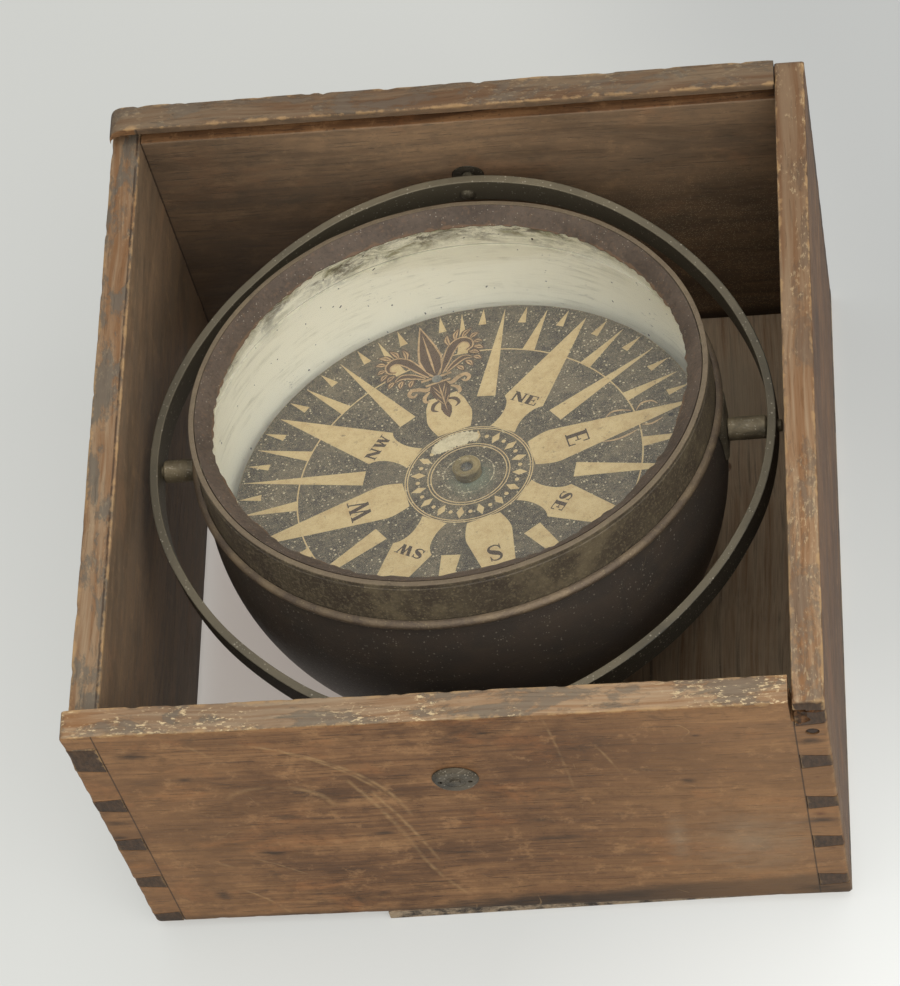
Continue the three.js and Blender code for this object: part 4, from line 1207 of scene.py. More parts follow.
def inside_paint(n, local, looks):
    """Old white paint: brushed round the bowl, greenish near the rim, with grey streaks and dark specks."""
    x, y, height = n.parts(local)
    brushed = n.step(n.noise(local, (30.0, 30.0, 360.0), 6.0, 0.7, 0.6), 0.46, 0.74)
    smudged = n.step(n.noise(local, 34.0, 5.0, 0.65), 0.42, 0.62)
    broken = n.step(n.noise(local, (56.0, 56.0, 170.0), 8.0, 0.72, 0.8), 0.43, 0.62)
    rim = n.step(n.plus(height, n.times(n.noise(local, 26.0, 5.0), 0.02)), 0.02, 0.034)
    back_left = n.step(n.minus(n.times(y, 0.9), n.times(x, 0.4)), 0.03, 0.08)
    grubby = n.step(n.noise(local, (60.0, 60.0, 130.0), 8.0, 0.76, 0.6), 0.46, 0.6)
    spots = n.step(n.noise(local, 420.0, 1.0), 0.75, 0.78)
    patches = n.step(n.noise(local, 40.0, 3.0), 0.5, 0.62)
    streaks = n.step(n.noise(local, (170.0, 170.0, 700.0), 4.0, 0.65, 1.2), 0.62, 0.7)
    return n.layers(
        looks.white,
        (looks.stain, brushed, smudged, 0.38),
        (looks.stain, rim, broken, 0.9),
        (looks.collar, rim, back_left, grubby, 0.9),
        (looks.brass_dark, n.most(spots, n.times(streaks, patches, 0.6))),
    )


def shell_paint(looks):
    """Dark paint outside and white inside, told apart by the distance from the middle of the round body."""
    n = MaterialNodes("body_paint", Metallic=0.0)
    local = n.within(BOWL)
    old = n.group("Patina", Vector=n.at)
    away = n.vector("DISTANCE", local, metres(0, 0, SHELL_CENTRE))
    inner = n.step(away, (SHELL_RADIUS - 0.7) * MM, (SHELL_RADIUS - 0.9) * MM)
    base = n.layers(
        looks.shell,
        (looks.shell_warm, old["Cloud"], 0.75),
        (looks.collar, n.step(n.noise(local, (40.0, 40.0, 260.0), 4.0, 0.6), 0.5, 0.78), 0.3),
        (looks.dust, n.specks(n.at, 1000.0, 0.3), 0.25),
        (looks.collar_speck, n.scuffs(local, 70.0), 0.4),
        (inside_paint(n, local, looks), inner),
    )
    rough = n.plus(n.times(old["Grit"], 0.25), n.graded(inner, 0.2, 0.34))
    return n.done(base, rough, old["Grit"], 0.00015)


def collar_paint(looks):
    """Olive brown paint full of tan specks, worn to metal at the top edge, and white inside."""
    n = MaterialNodes("collar_olive", Metallic=0.1)
    at, local = n.at, n.within(BOWL)
    height = n.parts(local)[2]
    old = n.group("Patina", Vector=at)
    grain = n.step(n.noise(at, 640.0, 5.0, 0.8), 0.5, 0.64)
    edge = n.step(n.plus(height, n.times(n.noise(at, 90.0, 3.0), 0.0012)), 0.0379, 0.0384)
    inner = n.step(n.radius(local), (COLLAR_INNER + 0.5) * MM, (COLLAR_INNER + 0.2) * MM)
    base = n.layers(
        looks.collar,
        (looks.putty_dark, old["Cloud"], 0.8),
        (looks.collar_speck, n.step(n.noise(at, 48.0, 6.0, 0.7), 0.5, 0.66), 0.35),
        (looks.collar_speck, grain, 0.45),
        (looks.collar_speck, n.specks(at, 900.0, 0.6), 0.5),
        (looks.bead, edge, 0.6),
        (inside_paint(n, local, looks), inner, n.step(height, 0.0375, 0.0365)),
    )
    return n.done(base, n.graded(old["Grit"], 0.3, 0.42), grain, 0.00012)


class COMPASS_OT_bowl_body(Operator):
    """Round body, upright collar and the bead over their joint"""

    bl_idname = "compass.bowl_body"
    bl_label = "Bowl Body"

    def execute(self, context):
        looks = context.scene.compass_bowl
        # Body: two arcs about one centre, turned; from the lowest point up to the rim and back inside
        inner_radius, rise = SHELL_RADIUS - SHELL_WALL, SHELL_TOP - SHELL_CENTRE
        outer_end = math.degrees(math.asin(rise / SHELL_RADIUS))
        inner_end = math.degrees(math.asin(rise / inner_radius))
        outside = arc((0, SHELL_CENTRE), SHELL_RADIUS, -90, outer_end, 72)
        inside = arc((0, SHELL_CENTRE), inner_radius, inner_end, -90, 64)
        outside[0, 0] = inside[-1, 0] = 0
        shell = mesh_object("bowl_shell_spun", turned(np.concatenate([outside, inside]), SHELL_SIDES), BOWL)
        finish(shell, shell_paint(looks), "bowl", ["bowl_shell"])

        # Collar: a thin upright section with a fine groove under its lip, rippled only near the top
        foot, top, lip = COLLAR_FOOT_RADIUS, COLLAR_TOP_RADIUS, COLLAR_HIGH - 2.1
        outline = [(COLLAR_INNER, COLLAR_LOW), (foot, COLLAR_LOW), (foot - 0.1, 21), (top + 0.06, lip - 0.5)]
        outline += [(top - 0.3, lip - 0.25), (top - 0.3, lip), (top, lip + 0.3)]
        outline += [(top, COLLAR_HIGH), (COLLAR_INNER, COLLAR_HIGH)]
        radii = [0.2, 0.2, 0.5, 0.2, 0.12, 0.12, 0.2, 0.5, 0.3]
        skin = around(softened(outline, radii), COLLAR_SIDES)
        skin[..., 1] += 0.1 * round_ripple(COLLAR_SIDES, 71, 4, 40) * np.clip((skin[..., 1] - 34) / 4, 0, 1)
        collar = mesh_object("bowl_collar_rolled", turned(skin), BOWL)
        finish(collar, collar_paint(looks), "bowl", ["bowl_collar"])

        # Bead: half an ellipse carried round
        half = np.radians(np.linspace(-90, 90, 15))
        outline = np.stack([foot + 0.3 + 2.5 * np.cos(half), COLLAR_LOW + 2 + 2 * np.sin(half)], -1)
        bead = mesh_object("bead_ring_moulded", turned(outline, COLLAR_SIDES), BOWL)
        metal = brass("bead_tan", looks.putty, looks.bead, looks.collar_speck, 0.1)
        finish(bead, metal, "bowl", ["bead_ring"])
        return {"FINISHED"}


def putty_paint(looks):
    """Mauve brown paint on putty: cloudy, gritty, and bare at its ragged inner edge."""
    n = MaterialNodes("putty_mauve", Specular_IOR_Level=0.25)
    at = n.at
    grit = n.noise(at, 620.0, 5.0, 0.75)
    wandering = n.minus(n.radius(n.within(BOWL)), n.times(n.noise(at, 220.0, 3.0), 0.0022))
    base = n.layers(
        looks.putty,
        (looks.putty_dark, n.step(n.noise(at, 55.0, 5.0, 0.62), 0.36, 0.7), 0.65),
        (looks.putty_dark, n.step(grit, 0.52, 0.66), 0.55),
        (looks.putty_edge, n.step(grit, 0.46, 0.36), 0.5),
        (looks.putty_edge, n.step(wandering, (PUTTY_INNER - 0.5) * MM, (PUTTY_INNER - 1.1) * MM), 0.75),
        (looks.dust, n.specks(at, 1300.0, 0.2), 0.35),
    )
    height = n.plus(n.times(grit, 0.6), n.noise(at, 160.0, 3.0))
    return n.done(base, n.graded(grit, 0.25, 0.45), height, 0.0004)


def glass_material(name, tint, rough):
    """Clear glass that lets lamps through to what lies behind it."""
    n = MaterialNodes(name, Base_Color=tint, Transmission_Weight=1.0, IOR=1.46, Specular_IOR_Level=0.5)
    lamplight = n.add("ShaderNodeLightPath").outputs["Is Shadow Ray"]
    n.blend(lamplight, n.add("ShaderNodeBsdfTransparent", {0: tint}))
    return n.done(rough=n.times(n.noise(n.at, 60.0, 3.0), rough))


class COMPASS_OT_glazing(Operator):
    """Ledge, flat glass and the ragged slope of putty that holds it"""

    bl_idname = "compass.glazing"
    bl_label = "Glass and Putty"

    def execute(self, context):
        looks = context.scene.compass_bowl
        seat_top, seat_low, seat_inner = GLASS_LOW - 0.3, GLASS_LOW - 4.3, GLASS_RADIUS - 2.4
        ledge = [(seat_inner, seat_low + 1.4), (GLASS_RADIUS, seat_low)]
        ledge += [(GLASS_RADIUS, seat_top), (seat_inner, seat_top)]
        seat = mesh_object("glass_seat_ledge", turned(softened(ledge, 0.3), SHELL_SIDES), BOWL)
        n = MaterialNodes("seat_paint", Roughness=0.6)
        paint = n.done(inside_paint(n, n.within(BOWL), looks))
        finish(seat, paint, "bowl", ["glass_seat"])

        profile = [(0, GLASS_LOW), (GLASS_RADIUS, GLASS_LOW), (GLASS_RADIUS, GLASS_HIGH), (0, GLASS_HIGH)]
        pane = mesh_object("glass_pane", turned_solid(profile, 0.25, 160, 3), BOWL)
        finish(pane, glass_material("window_glass", (0.985, 0.99, 0.98), 0.008), "bowl", ["glass"])

        # Putty: a slope from a wandering inner edge up to the rim, swollen by half a sine of uneven height
        share = np.linspace(0, 1, 12)[:, None]
        wander = round_ripple(PUTTY_SIDES, 81, 5, 30) + 0.6 * round_ripple(PUTTY_SIDES, 82, 40, 110)
        inner = PUTTY_INNER + np.clip(looks.ragged / MM * wander, -0.55, 1.4)
        radius = inner + (GLASS_RADIUS - inner) * share
        swell = np.sin(np.pi * share) * (0.5 + 0.14 * round_ripple(PUTTY_SIDES, 83, 8, 60))
        slope = PUTTY_FOOT + 0.45 + (COLLAR_HIGH - PUTTY_FOOT - 0.5) * share + swell
        base = np.stack([np.full(PUTTY_SIDES, GLASS_RADIUS), inner + 0.1])
        foot = np.full(base.shape, PUTTY_FOOT)
        skin = np.stack([np.concatenate([radius, base]), np.concatenate([slope, foot])], -1)
        putty = mesh_object("putty_bezel_slope", turned(skin), BOWL)
        finish(putty, putty_paint(looks), "bowl", ["putty_bezel"])
        return {"FINISHED"}


def fine_ends(low, high, count):
    """Places from low to high, close together near both ends for a rounded edge and even between."""
    fine = np.array((0, 0.15, 0.4, 0.8, 1.4))
    return np.concatenate([low + fine, np.linspace(low + 2.5, high - 2.5, count), (high - fine)[::-1]])


class COMPASS_OT_trunnions(Operator):
    """Plates on the sides of the bowl and the pivots that run from them into the ring"""

    bl_idname = "compass.trunnions"
    bl_label = "Lugs and Trunnions"

    def execute(self, context):
        looks = context.scene.compass_bowl
        metal = brass("lug_brass", looks.brass_dark, looks.brass_light, looks.dust)
        worn = brass("trunnion_brass", shade(78, 70, 54), shade(126, 113, 87), looks.dust)
        # Plate: its back lies on a sphere round the body, and its flat face falls off at the edges by an arc
        height = fine_ends(LUG_LOW, LUG_HIGH, 18)
        across = fine_ends(-LUG_HALF_WIDTH, LUG_HALF_WIDTH, 13)
        from_ends = np.minimum(height - LUG_LOW, LUG_HIGH - height)
        near = np.minimum(from_ends[:, None], LUG_HALF_WIDTH - np.abs(across))
        swell = 0.3 + 0.7 * np.sqrt(1 - (1 - np.clip(near / 1.4, 0, 1)) ** 2)
        h, y = np.meshgrid(height, across, indexing="ij")
        inner = np.sqrt((SHELL_RADIUS + 0.35) ** 2 - (h - SHELL_CENTRE) ** 2 - y**2)
        outer = inner + (LUG_FACE - inner) * swell
        x, y, h = (np.concatenate(pair, 1) for pair in ((outer, inner[:, ::-1]), (y, y[:, ::-1]), (h, h)))
        plate = swept(np.stack([x, y, h], -1))
        root, shoulder, end = LUG_FACE + 0.3, PIVOT_INNER - 0.9, PIVOT_OUTER + 1.6
        bar = [(0, root), (4.65, root), (4.65, shoulder - 0.6), (4.05, shoulder), (2.5, shoulder)]
        bar = turned_solid(bar + [(2.5, end - 0.4), (2.1, end), (0, end)], 0.22, 72)
        for side, angle in (("right", 0), ("left", 180)):
            place = BOWL @ turn("z", angle)
            lug = mesh_object(f"lug_{side}_plate", plate, place)
            finish(lug, metal, "bowl", [f"lug_{side}"])
            pivot = mesh_object(f"trunnion_{side}_pivot", bar, place @ TOWARDS["+x"])
            finish(pivot, worn, "bowl", [f"trunnion_{side}"])
        return {"FINISHED"}


def steel():
    """Grey steel with brighter rubbing marks."""
    n = MaterialNodes("needle_steel", Metallic=0.9)
    old = n.group("Patina", Vector=n.at)
    base = n.mix(old["Cloud"], shade(72, 72, 74), shade(116, 116, 118))
    base = n.layers(base, (shade(150, 150, 150), old["Rub"], 0.4))
    return n.done(base, n.graded(old["Grit"], 0.3, 0.25))


def lead():
    """Dull grey casting."""
    n = MaterialNodes("weight_lead", Metallic=0.6)
    old = n.group("Patina", Vector=n.at)
    base = n.mix(old["Cloud"], shade(84, 86, 90), shade(112, 114, 116))
    return n.done(base, n.graded(old["Grit"], 0.3, 0.5), old["Grit"], 0.0003)


class COMPASS_OT_hidden_pieces(Operator):
    """Finishes for the weight, post, needle, magnet and nut, which keep their solids"""

    bl_idname = "compass.hidden_pieces"
    bl_label = "Weight, Post and Needle"

    def execute(self, context):
        looks = context.scene.compass_bowl
        post_brass = brass("post_brass", looks.brass_dark, looks.brass_light, looks.dust, 0.2)
        rows = (
            (lead(), ("ballast_weight",)),
            (post_brass, ("pivot_post", "cap_nut")),
            (steel(), ("pivot_needle", "magnet_needle")),
        )
        for metal, nodes in rows:
            for node in nodes:
                piece = frame["nodes"][node]
                piece.data.materials.clear()
                piece.data.materials.append(metal)
        return {"FINISHED"}


# Card

# Radius and half width of each ring, in millimetres
RINGS = ((71.2, 0.3), (26.35, 0.22), (25.35, 0.22), (16.9, 0.2), (15.65, 0.22))


def strip(left, right, low, high, looped=False):
    """A flat ribbon between two edges, each n x 2, standing from low to high as a closed skin."""
    edges = ((left, low), (left, high), (right, high), (right, low))
    rings = np.stack([np.column_stack([edge, np.full(len(edge), level)]) for edge, level in edges], 1)
    return swept(rings, looped)


def ray(angle, along, across):
    """Card points at distances along a bearing, counted from east, and across it to the left."""
    c, s = math.cos(math.radians(angle)), math.sin(math.radians(angle))
    along, across = np.broadcast_arrays(np.asarray(along, float), np.asarray(across, float))
    return np.stack([along * c - across * s, along * s + across * c], -1)


def spike(angle, table, low, high):
    """A point of the card: a strip along a bearing, its half widths given as (radius, half width) pairs."""
    along, half = np.array(table, float).T
    return strip(ray(angle, along, half), ray(angle, along, -half), low, high)


def bezier(points, steps):
    """Points on a cubic curve through four control points."""
    a, b, c, d = np.array(points, float)[:, None]
    t = np.linspace(0, 1, steps)[:, None]
    return (1 - t) ** 3 * a + 3 * t * (1 - t) ** 2 * b + 3 * t**2 * (1 - t) * c + t**3 * d


def smooth_path(points, steps=40):
    """A curve through points: Catmull-Rom pieces between each pair, with the end points repeated."""
    p = np.array(points, float)
    p = np.concatenate([p[:1], p, p[-1:]])
    t = np.linspace(0, len(p) - 3 - 1e-6, steps)
    k = t.astype(int)
    t = (t - k)[:, None]
    a, b, c, d = p[k], p[k + 1], p[k + 2], p[k + 3]
    return 0.5 * (2 * b + (c - a) * t + (2 * a - 5 * b + 4 * c - d) * t**2 + (3 * b - a - 3 * c + d) * t**3)


def ribbon(path, half):
    """Two edges at a half width to each side of a path."""
    path = np.asarray(path, float)
    ahead = np.gradient(path, axis=0)
    ahead /= np.maximum(np.linalg.norm(ahead, axis=1, keepdims=True), 1e-9)
    side = np.stack([-ahead[:, 1], ahead[:, 0]], -1) * np.broadcast_to(half, len(path))[:, None]
    return path + side, path - side


def upright_bar(x0, y0, x1, y1, half):
    """A stroke from one height to another, cut level at both ends."""
    return np.array([(x0 - half, y0), (x1 - half, y1)]), np.array([(x0 + half, y0), (x1 + half, y1)])


def level_bar(x0, x1, y, half):
    """A stroke along a level line."""
    return ribbon([(x0, y), (x1, y)], half)


def letter_strokes(letter):
    """Strokes of a roman capital in a unit square: thick stems, hairlines and flat serifs."""
    up, flat = upright_bar, level_bar
    if letter == "N":
        return [up(0.15, 0, 0.15, 1, 0.045), up(0.85, 0, 0.85, 1, 0.045), up(0.17, 1, 0.83, 0, 0.12),
                flat(0, 0.32, 0.025, 0.025), flat(-0.02, 0.2, 0.975, 0.025), flat(0.68, 1, 0.975, 0.025)]
    if letter == "E":
        return [up(0.24, 0, 0.24, 1, 0.12), flat(0.02, 0.86, 0.97, 0.03), flat(0.3, 0.68, 0.5, 0.028),
                flat(0.02, 0.94, 0.03, 0.03), up(0.85, 0.7, 0.85, 1, 0.035), up(0.66, 0.36, 0.66, 0.64, 0.03),
                up(0.92, 0, 0.92, 0.32, 0.035)]
    if letter == "W":
        return [up(0.12, 1, 0.32, 0, 0.075), up(0.32, 0, 0.5, 1, 0.03), up(0.5, 1, 0.7, 0, 0.075),
                up(0.7, 0, 0.88, 1, 0.03), flat(-0.02, 0.27, 0.975, 0.025), flat(0.38, 0.62, 0.975, 0.025),
                flat(0.77, 1.02, 0.975, 0.025)]
    path = smooth_path([
        (0.84, 0.76), (0.74, 0.92), (0.52, 0.975), (0.3, 0.92), (0.2, 0.76), (0.3, 0.6), (0.52, 0.49),
        (0.74, 0.38), (0.84, 0.22), (0.74, 0.08), (0.5, 0.025), (0.28, 0.08), (0.15, 0.26),
    ], 48)
    half = 0.03 + 0.095 * np.exp(-(((np.linspace(-1, 1, 48)) / 0.42) ** 2))
    return [ribbon(path, half), up(0.84, 0.68, 0.84, 0.99, 0.03), up(0.15, 0.01, 0.15, 0.34, 0.03)]


def letter_skins(letter, angle, foot, left, wide, tall, weight, low, high):
    """A letter on a bearing with its top outwards: foot is its baseline radius, left its place to the left.

    weight makes each stroke broader or finer about its own middle line. Each stroke stands a little higher
    than the one before, so that no two faces lie in one plane.
    """
    strokes = letter_strokes(letter)
    skins = []
    for edges, extra in zip(strokes, np.linspace(0, 0.004, len(strokes))):
        middle = sum(edges) / 2
        broad = [middle + (edge - middle) * weight for edge in edges]
        sides = [ray(angle, foot + edge[:, 1] * tall, left - edge[:, 0] * wide) for edge in broad]
        skins.append(strip(*sides, low, high + extra))
    return skins


def printed_points(low, high):
    """The cream marks: the card's rings, its 8 main points, the thin points between and the rim triangles."""
    def every(first, step):
        return np.arange(first, 360, step)

    bulb = bezier([(26.6, 6.9), (30.5, 8.5), (34, 9.7), (37, 9.45)], 10).tolist()
    neck = bezier([(26.6, 5.9), (32.0, 3.9), (40.5, 4.6), (43.3, 9.3)], 12).tolist()
    rows = (
        ((0, 180, 270), [*bulb, (66, 4.85), (95, 0.05)]),
        ((90,), [*bulb, (44, 8.2), (49, 6.0)]),
        (every(45, 90), [*neck, (66, 5.2), (94.2, 0.05)]),
        (every(22.5, 45), [(44, 3.95), (70, 1.95), (95, 0.05)]),
        (every(11.25, 22.5), [(71.3, 2.7), (95, 0.05)]),
        (every(5.625, 11.25), [(86.8, 1.7), (96, 0.05)]),
        (every(11.25, 22.5), [(20.2, 0.05), (20.4, 0.6), (21.1, 0.9), (21.8, 0.6), (22.0, 0.05)]),
        (every(0, 22.5), [(18.1, 0.05), (21.1, 1.6), (24.3, 0.05)]),
    )
    circle = directions(round_angles(240))
    rings = [
        strip(circle * (radius - half), circle * (radius + half), low, high - 0.02, True)
        for radius, half in RINGS
    ]
    return rings + [spike(angle, table, low, high) for angles, table in rows for angle in angles]


def printed_letters(low, high):
    """Bearing letters on the main points, their tops outwards."""
    skins = []
    for letter, angle, foot, wide, tall in (
        ("E", 0, 41.5, 7.5, 9.0), ("W", 180, 41.9, 11.4, 8.6), ("S", 270, 43, 6.7, 8.6),
    ):
        skins += letter_skins(letter, angle, foot, wide / 2, wide, tall, 1.1, low, high)
    widths, gap = {"N": 6.0, "E": 5.4, "S": 4.8, "W": 7.2}, 0.5
    for pair, angle in (("NE", 45), ("SE", 315), ("SW", 225), ("NW", 135)):
        left = (widths[pair[0]] + widths[pair[1]] + gap) / 2
        for letter in pair:
            skins += letter_skins(letter, angle, 42.2, left, widths[letter], 5.0, 1.4, low, high)
            left -= widths[letter] + gap
    return skins


def drawn(path, half, low, high, steps=28):
    """A brush stroke along a curve through points, whose half width goes through the given values."""
    widths = np.interp(np.linspace(0, 1, steps), np.linspace(0, 1, len(half)), half)
    return strip(*ribbon(smooth_path(path, steps), widths), low, high)


def north_mark(low, high):
    """A lily with scrolls and leaves on the north line, as pale skins and brown skins."""
    pale, brown = [], []

    def upright(skins, table, level):
        skins.append(spike(90, table, low, high + level))

    def petal(path, half, level):
        pale.append(drawn(path, half, low, high + level))
        brown.append(drawn(path, np.maximum(np.array(half) - 0.65, 0.05), low, high + level + 0.02))

    upright(pale, [(60.6, 0.8), (66, 4.0), (73, 5.2), (80, 4.0), (87, 2.1), (94, 0.05)], 0)
    upright(brown, [(61.5, 0.3), (66, 3.2), (73, 4.3), (80, 3.1), (87, 1.4), (92, 0.05)], 0.02)
    upright(pale, [(63, 0.05), (70, 0.5), (78, 0.4), (88, 0.05)], 0.04)
    upright(brown, [(35.2, 0.05), (38, 1.6), (41.5, 2.3), (45, 1.5), (49, 3.4), (54, 4.4), (58, 3.0)], 0.03)
    upright(pale, [(40, 0.05), (45, 0.3), (51, 0.4), (56.5, 0.05)], 0.05)
    for reach, y, half in ((6.6, 61.0, 0.55), (5.4, 57.6, 0.45)):
        pale.append(strip(*level_bar(-reach, reach, y, half), low, high + 0.05))
    leaves = (
        (9.4, 77.0, 0.4, 6.4), (12.4, 79.4, 2.6, 5.4), (15.6, 79.4, 4.6, 3.6), (18.6, 77.6, 3.8, 1.6),
        (19.4, 74.6, 3.4, -0.8), (19.0, 71.8, 3.2, -2.6), (16.4, 69.6, 3.6, -2.2), (17.4, 66.0, 2.6, -2.6),
        (13.8, 65.0, 1.8, -3.8), (9.6, 63.4, 2.0, -3.4),
    )
    for side in (-1, 1):
        def mirrored(*points):
            return [(side * x, y) for x, y in points]

        outer = ((2.6, 62.5), (6.2, 69), (10.0, 75.2), (14.2, 78.0), (17.6, 76.2), (17.8, 72.8), (15.2, 71.4))
        petal(mirrored(*outer), (0.9, 1.9, 2.3, 1.9, 1.5, 1.1, 0.4), 0.004)
        lower = ((4.6, 62.2), (9.2, 65.6), (13.4, 67.4), (16.8, 66.0))
        petal(mirrored(*lower), (0.6, 1.5, 1.5, 0.3), 0.008)
        for k, (x, y, dx, dy) in enumerate(leaves):
            bend, tip = (x + dx * 0.5 - dy * 0.1, y + dy * 0.5 + dx * 0.1), (x + dx, y + dy)
            level = high + 0.006 + 0.001 * k
            pale.append(drawn(mirrored((x, y), bend, tip), (0.3, 1.15, 0.06), low, level, 12))
            brown.append(drawn(mirrored((x, y), bend, tip), (0.05, 0.3, 0.03), low, level + 0.012, 12))
            wash = mirrored((x * 0.96, y), bend, (x + dx * 1.12, y + dy * 1.12))
            brown.append(drawn(wash, (0.9, 1.75, 0.4), low, high - 0.01 + 0.0005 * k, 12))
        scroll = ((1.8, 57), (5.2, 55.2), (8.6, 57), (11.6, 57.6), (13, 55.4), (11.4, 53.6), (9.8, 54.8))
        pale.append(drawn(mirrored(*scroll), (0.5, 1.0, 1.0, 0.9, 0.8, 0.6, 0.3), low, high + 0.018, 30))
        curl = mirrored((4.6, 53.6), (7.2, 51.2), (7.4, 48.6), (5.6, 47.8))
        pale.append(drawn(curl, (0.3, 0.9, 0.7, 0.2), low, high + 0.02, 18))
        for foot, rise in ((47.0, 6.0), (43.8, 4.6), (50.4, 5.4)):
            vein = mirrored((0.5, foot), (1.5, foot + rise * 0.5), (2.6, foot + rise))
            pale.append(drawn(vein, (0.05, 0.26, 0.05), low, high + 0.052, 12))
        leaf = mirrored((1.2, 46.6), (4.4, 45.4), (5.6, 42.4), (3.6, 40.6))
        brown.append(drawn(leaf, (0.3, 0.9, 0.7, 0.1), low, high + 0.034, 18))
    return pale, brown


def east_curls(low, high):
    """Small pale curls on both sides of the east point."""
    curls = (
        ((59, 5.4), (62, 7.8), (66, 7.4), (70, 5.2)), ((72, 4.6), (75, 7.4), (79, 7.0), (81, 4.4)),
        ((54, -6.4), (60, -8.0), (66, -7.4), (70, -6.2)), ((72, -4.4), (76, -5.6), (81, -4.2)),
    )
    return [drawn(path, (0.1, 0.4, 0.4, 0.1), low, high, 18) for path in curls]


def card_ground(looks):
    """Faded black print on card: speckled, rubbed pale in places, and green round the cap."""
    n = MaterialNodes("card_ground", Specular_IOR_Level=0.3)
    local = n.within(CARD)
    radius = n.radius(local)
    grain = n.noise(local, 420.0, 8.0, 0.92)
    trace = n.step(n.size(n.minus(radius, CAP_TRACE * MM)), 0.0004, 0.0001)
    base = n.layers(
        looks.ground,
        (looks.ground_light, n.step(grain, 0.42, 0.66), 0.8),
        (looks.ground_light, n.step(n.noise(local, 45.0, 5.0, 0.65), 0.42, 0.72), 0.45),
        (looks.bare, n.specks(local, 1500.0, 1.0), 0.4),
        (looks.bare, n.specks(local, 760.0, 0.45), 0.75),
        (looks.bare, n.scuffs(local, 90.0), 0.2),
        (looks.ink, n.step(n.noise(local, 240.0, 2.0), 0.7, 0.78), 0.35),
        (looks.verdigris, n.spot(local, (0.3, -2.6, CARD_TOP), (12.5, 12.0, 9), 0.5, 0.1), 0.7),
        (looks.bare, trace, n.step(grain, 0.46, 0.56)),
        (shade(40, 36, 32), n.spot(local, (84.3, -4.3, CARD_TOP), (1.6, 1.3, 4), 0.3, 0.6)),
        (looks.cream_dark, n.step(radius, (CARD_RADIUS - 0.6) * MM, CARD_RADIUS * MM), 0.4),
    )
    return n.done(base, n.graded(grain, 0.2, 0.6), grain, 0.00008)


def card_print(name, main, dark, looks, rub):
    """A printed colour on paper: foxed, with the ground showing through where it is rubbed."""
    n = MaterialNodes(name, Specular_IOR_Level=0.3)
    local = n.within(CARD)
    grain = n.noise(local, 1000.0, 3.0, 0.7)
    worn = n.step(n.noise(local, 380.0, 6.0, 0.75), 0.58, 0.68)
    base = n.layers(
        main,
        (dark, n.step(n.noise(local, 150.0, 8.0, 0.78), 0.4, 0.7), 0.6),
        (dark, n.step(grain, 0.5, 0.72), 0.4),
        (looks.ink, n.step(n.noise(local, 260.0, 3.0), 0.66, 0.76), 0.5),
        (looks.ground, worn, n.step(n.noise(local, 50.0, 3.0), 0.38, 0.6), rub),
    )
    return n.done(base, n.graded(grain, 0.2, 0.58), grain, 0.00006)


def rubbed_patch(low, high):
    """Bare paper on the middle band: a strip between two wavering arcs that close in at its ends."""
    angle = np.linspace(66, 122, 90)
    narrow = np.abs(angle - 94) ** 3 / 9000
    inner = 17.3 + 0.5 * ripple(angle, 97, 4, 20) + narrow
    outer = np.maximum(24.9 + 0.3 * ripple(angle, 98, 3, 14) - narrow, inner + 0.2)
    towards = directions(np.radians(angle))
    return strip(towards * inner[:, None], towards * outer[:, None], low, high)


class COMPASS_OT_card(Operator):
    """The card with its printed points, rings, letters and north mark"""

    bl_idname = "compass.card"
    bl_label = "Card and Print"

    def execute(self, context):
        looks = context.scene.compass_card
        # Card: a thin flat section carried round, its rim rippled
        foot = CARD_TOP - CARD_THICK
        across = np.linspace(CARD_BORE, CARD_RADIUS - 0.2, 12)
        top = np.column_stack([across, np.full(len(across), CARD_TOP)])
        rim = [(CARD_RADIUS, CARD_TOP - 0.15), (CARD_RADIUS, foot + 0.15), (CARD_RADIUS - 0.2, foot)]
        skin = around(np.concatenate([top, rim, [(CARD_BORE, foot)]]), CARD_SIDES)
        skin[len(across) - 1:-1, :, 0] += 0.08 * round_ripple(CARD_SIDES, 91, 6, 60)
        disc = mesh_object("card_disc_paper", turned(skin), CARD)
        holes = [rod("z", 1.5, CARD_TOP - 3, CARD_TOP + 3, (0, y, 0)) for y in (-RIVET_PLACE, RIVET_PLACE)]
        cut(disc, [moved(hole, CARD) for hole in holes])
        finish(disc, card_ground(looks), "card", ["card_disc"])

        low, high = CARD_TOP - 0.03, CARD_TOP + looks.print_height / MM
        cream = card_print("print_cream", looks.cream, looks.cream_dark, looks, 0.6)
        tan = card_print("print_tan", looks.tan, looks.brown, looks, 0.5)
        ink = card_print("print_ink", looks.ink, looks.ink, looks, 0.3)
        brown = card_print("print_brown", looks.brown, looks.ink, looks, 0.4)
        bare = card_print("paper_bare", looks.bare, looks.ground_light, looks, 0.5)
        pale_skins, brown_skins = north_mark(low, high + 0.02)
        for name, skins, material in (
            ("card_points", printed_points(low, high), cream),
            ("card_letters", printed_letters(low, high + 0.035), ink),
            ("card_north_pale", pale_skins + east_curls(low, high), tan),
            ("card_north_brown", brown_skins, brown),
            ("card_worn_patch", [rubbed_patch(low, high + 0.03)], bare),
        ):
            finish(mesh_object(name, joined(skins), CARD), material, "card")
        return {"FINISHED"}


